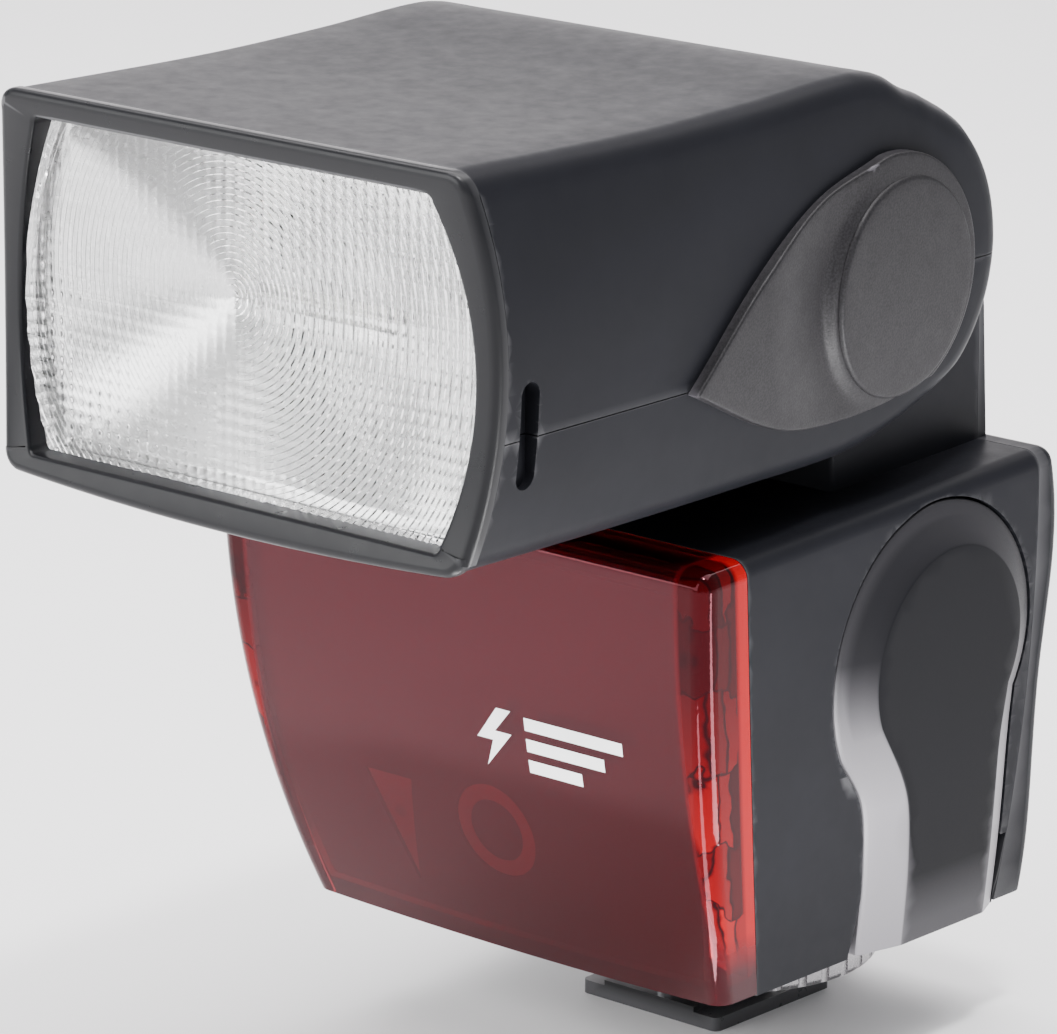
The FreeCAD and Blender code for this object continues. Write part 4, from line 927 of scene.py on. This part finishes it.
def rectangle(u0, z0, u1, z1):
    return vectors((u0, z0), (u1, z0), (u1, z1), (u0, z1))


def build_body():
    """Case and neck ahead of the rear shell, with recesses for the panels and rooms for what moves."""
    outline = trace(
        (-33.4, 12.0), ("arc", (-41.9, 40.0), (-43.85, 59.0)), ("arc", (-43.4, 60.45), (-42.0, 61.0)),
        ("line", (11.2, 63.2)), ("arc", (12.7, 62.75), (13.3, 61.4)),
        ("curve", (14.6, 52.0), (14.0, 40.0), (15.0, 29.0), (16.7, 18.0), (17.1, 12.0)),
        ("line", (-33.4, 12.0)))
    radii = [EDGE_ROUND * smooth((p.y - 11.9) / 4.0) for p in outline]
    case = bar("body_case", outline, lambda y, z: body_half(z), radii, "shell_plastic", keel_lift)
    levels = [8.0 + 60.0 * n / 40 for n in range(41)]
    ahead = [Vector((seam_line(z) + SEAM_GAP, z)) for z in levels]
    carve(case, block("seam", ahead + vectors((-60.0, 68.0), (-60.0, 8.0)), "x", -FAR, FAR))
    neck = trace(
        (-14.3, 55.0), ("line", (-14.3, 69.2)), ("arc", (-31.3, 85.6), (-14.9, 102.0)),
        ("arc", (-3.1, 96.98), (1.46, 84.4)), ("line", (3.0, 84.4)), ("arc", (8.4, 81.9), (10.6, 76.4)),
        ("line", (12.2, 55.0)), ("line", (-14.3, 55.0)), pitch=0.9)
    edges = [NECK_EDGE] * len(neck)
    column = bar("neck_column", neck, lambda y, z: NECK_HALF, edges, "shell_plastic", columns=2)
    split = vectors((11.54, 8.0), (9.34, 90.0), (40.0, 90.0), (40.0, 8.0))
    for piece in (case, column):
        carve(piece, block("split", split, "x", -FAR, FAR))
    recess = inset(DOOR_LINE, [-DOOR_GAP] * len(DOOR_LINE))
    for point in recess:
        if point.y < PANEL_BOTTOM + 0.1:
            point.y = 8.0
    chamber, board_room = rectangle(-15.0, 21.0, 5.0, 55.2), rectangle(6.5, 18.0, 14.0, 58.0)
    carve(case, block("door_recess", recess, "x", RECESS_X, 45.0))
    carve(case, block("panel_recess", recess, "x", -45.0, -RECESS_X))
    carve(case, block("cell_chamber", chamber, "x", CHAMBER_LEFT_X, CHAMBER_RIGHT_X))
    carve(case, block("board_room", board_room, "x", -BOARD_ROOM_HALF, BOARD_ROOM_HALF))
    carve(case, block("hinge_room", ring_line(HINGE_ROOM_RADIUS, HINGE_AXIS, 64), "y", *HINGE_ROOM_ENDS))
    for piece in (case, column):
        finished(piece, "root", "shell_plastic", "body_front_shell")


# ---- window print, and what shows through the window -----------------------------------------
window_face = bow(12.0, 40.0, 60.9, -33.4, -41.9, -43.95)
MARK_RAISE = 0.05
BOLT = ((4.6, 41.6), (1.6, 37.9), (3.7, 37.9), (2.5, 34.9), (6.3, 39.0), (4.1, 39.0), (6.5, 41.6))
BARS = ((8.2, 39.9, 21.0, 41.3), (8.2, 37.6, 18.4, 39.0), (8.2, 35.3, 15.2, 36.7))
CUE_DEPTH = 2.5
SENSOR_CENTRE, SENSOR_RADIUS, PUPIL_RADIUS = (0.6, 26.9), 5.1, 3.4
TRIANGLE = ((-16.4, 30.1), (-10.4, 30.1), (-12.2, 18.6))


def build_cues():
    """What shows through the two openings of the plate behind the window: a lamp cue and a sensor."""
    rings = [ring_line(radius, SENSOR_CENTRE, 48) for radius in (SENSOR_RADIUS, PUPIL_RADIUS)]
    for name, loops in (("lamp_cue", [vectors(*TRIANGLE)]), ("sensor_bezel", rings)):
        points, rows = numbered([[(p.x, window_face(p.y) + CUE_DEPTH, p.y) for p in loop] for loop in loops])
        faces = skin(rows) if len(rows) > 1 else [tuple(rows[0])]
        finished(new_piece(name, points, faces, "cue_red"), "root", "sensor_window")


def build_mark():
    """A plain printed bolt and three bars on the front window."""
    points, faces = [], []
    for shape in (vectors(*BOLT), *[rectangle(*corners) for corners in BARS]):
        start = len(points)
        points += [(p.x, window_face(p.y) - MARK_RAISE, p.y) for p in shape]
        faces.append(tuple(range(start, len(points))))
    piece = new_piece("window_print", points, faces, "white_ink")
    finished(piece, "root", "panel_film")


build_head()
build_bezel()
build_lens()
build_reflector()
build_cap(1, "tilt_cap_right")
build_cap(-1, "tilt_cap_left")
build_door(1, "door_panel", "battery_door", "battery_door")
build_door(-1, "side_cover", "root", "side_panel")
build_body()
build_cues()
build_mark()

build_stage()
build_camera()
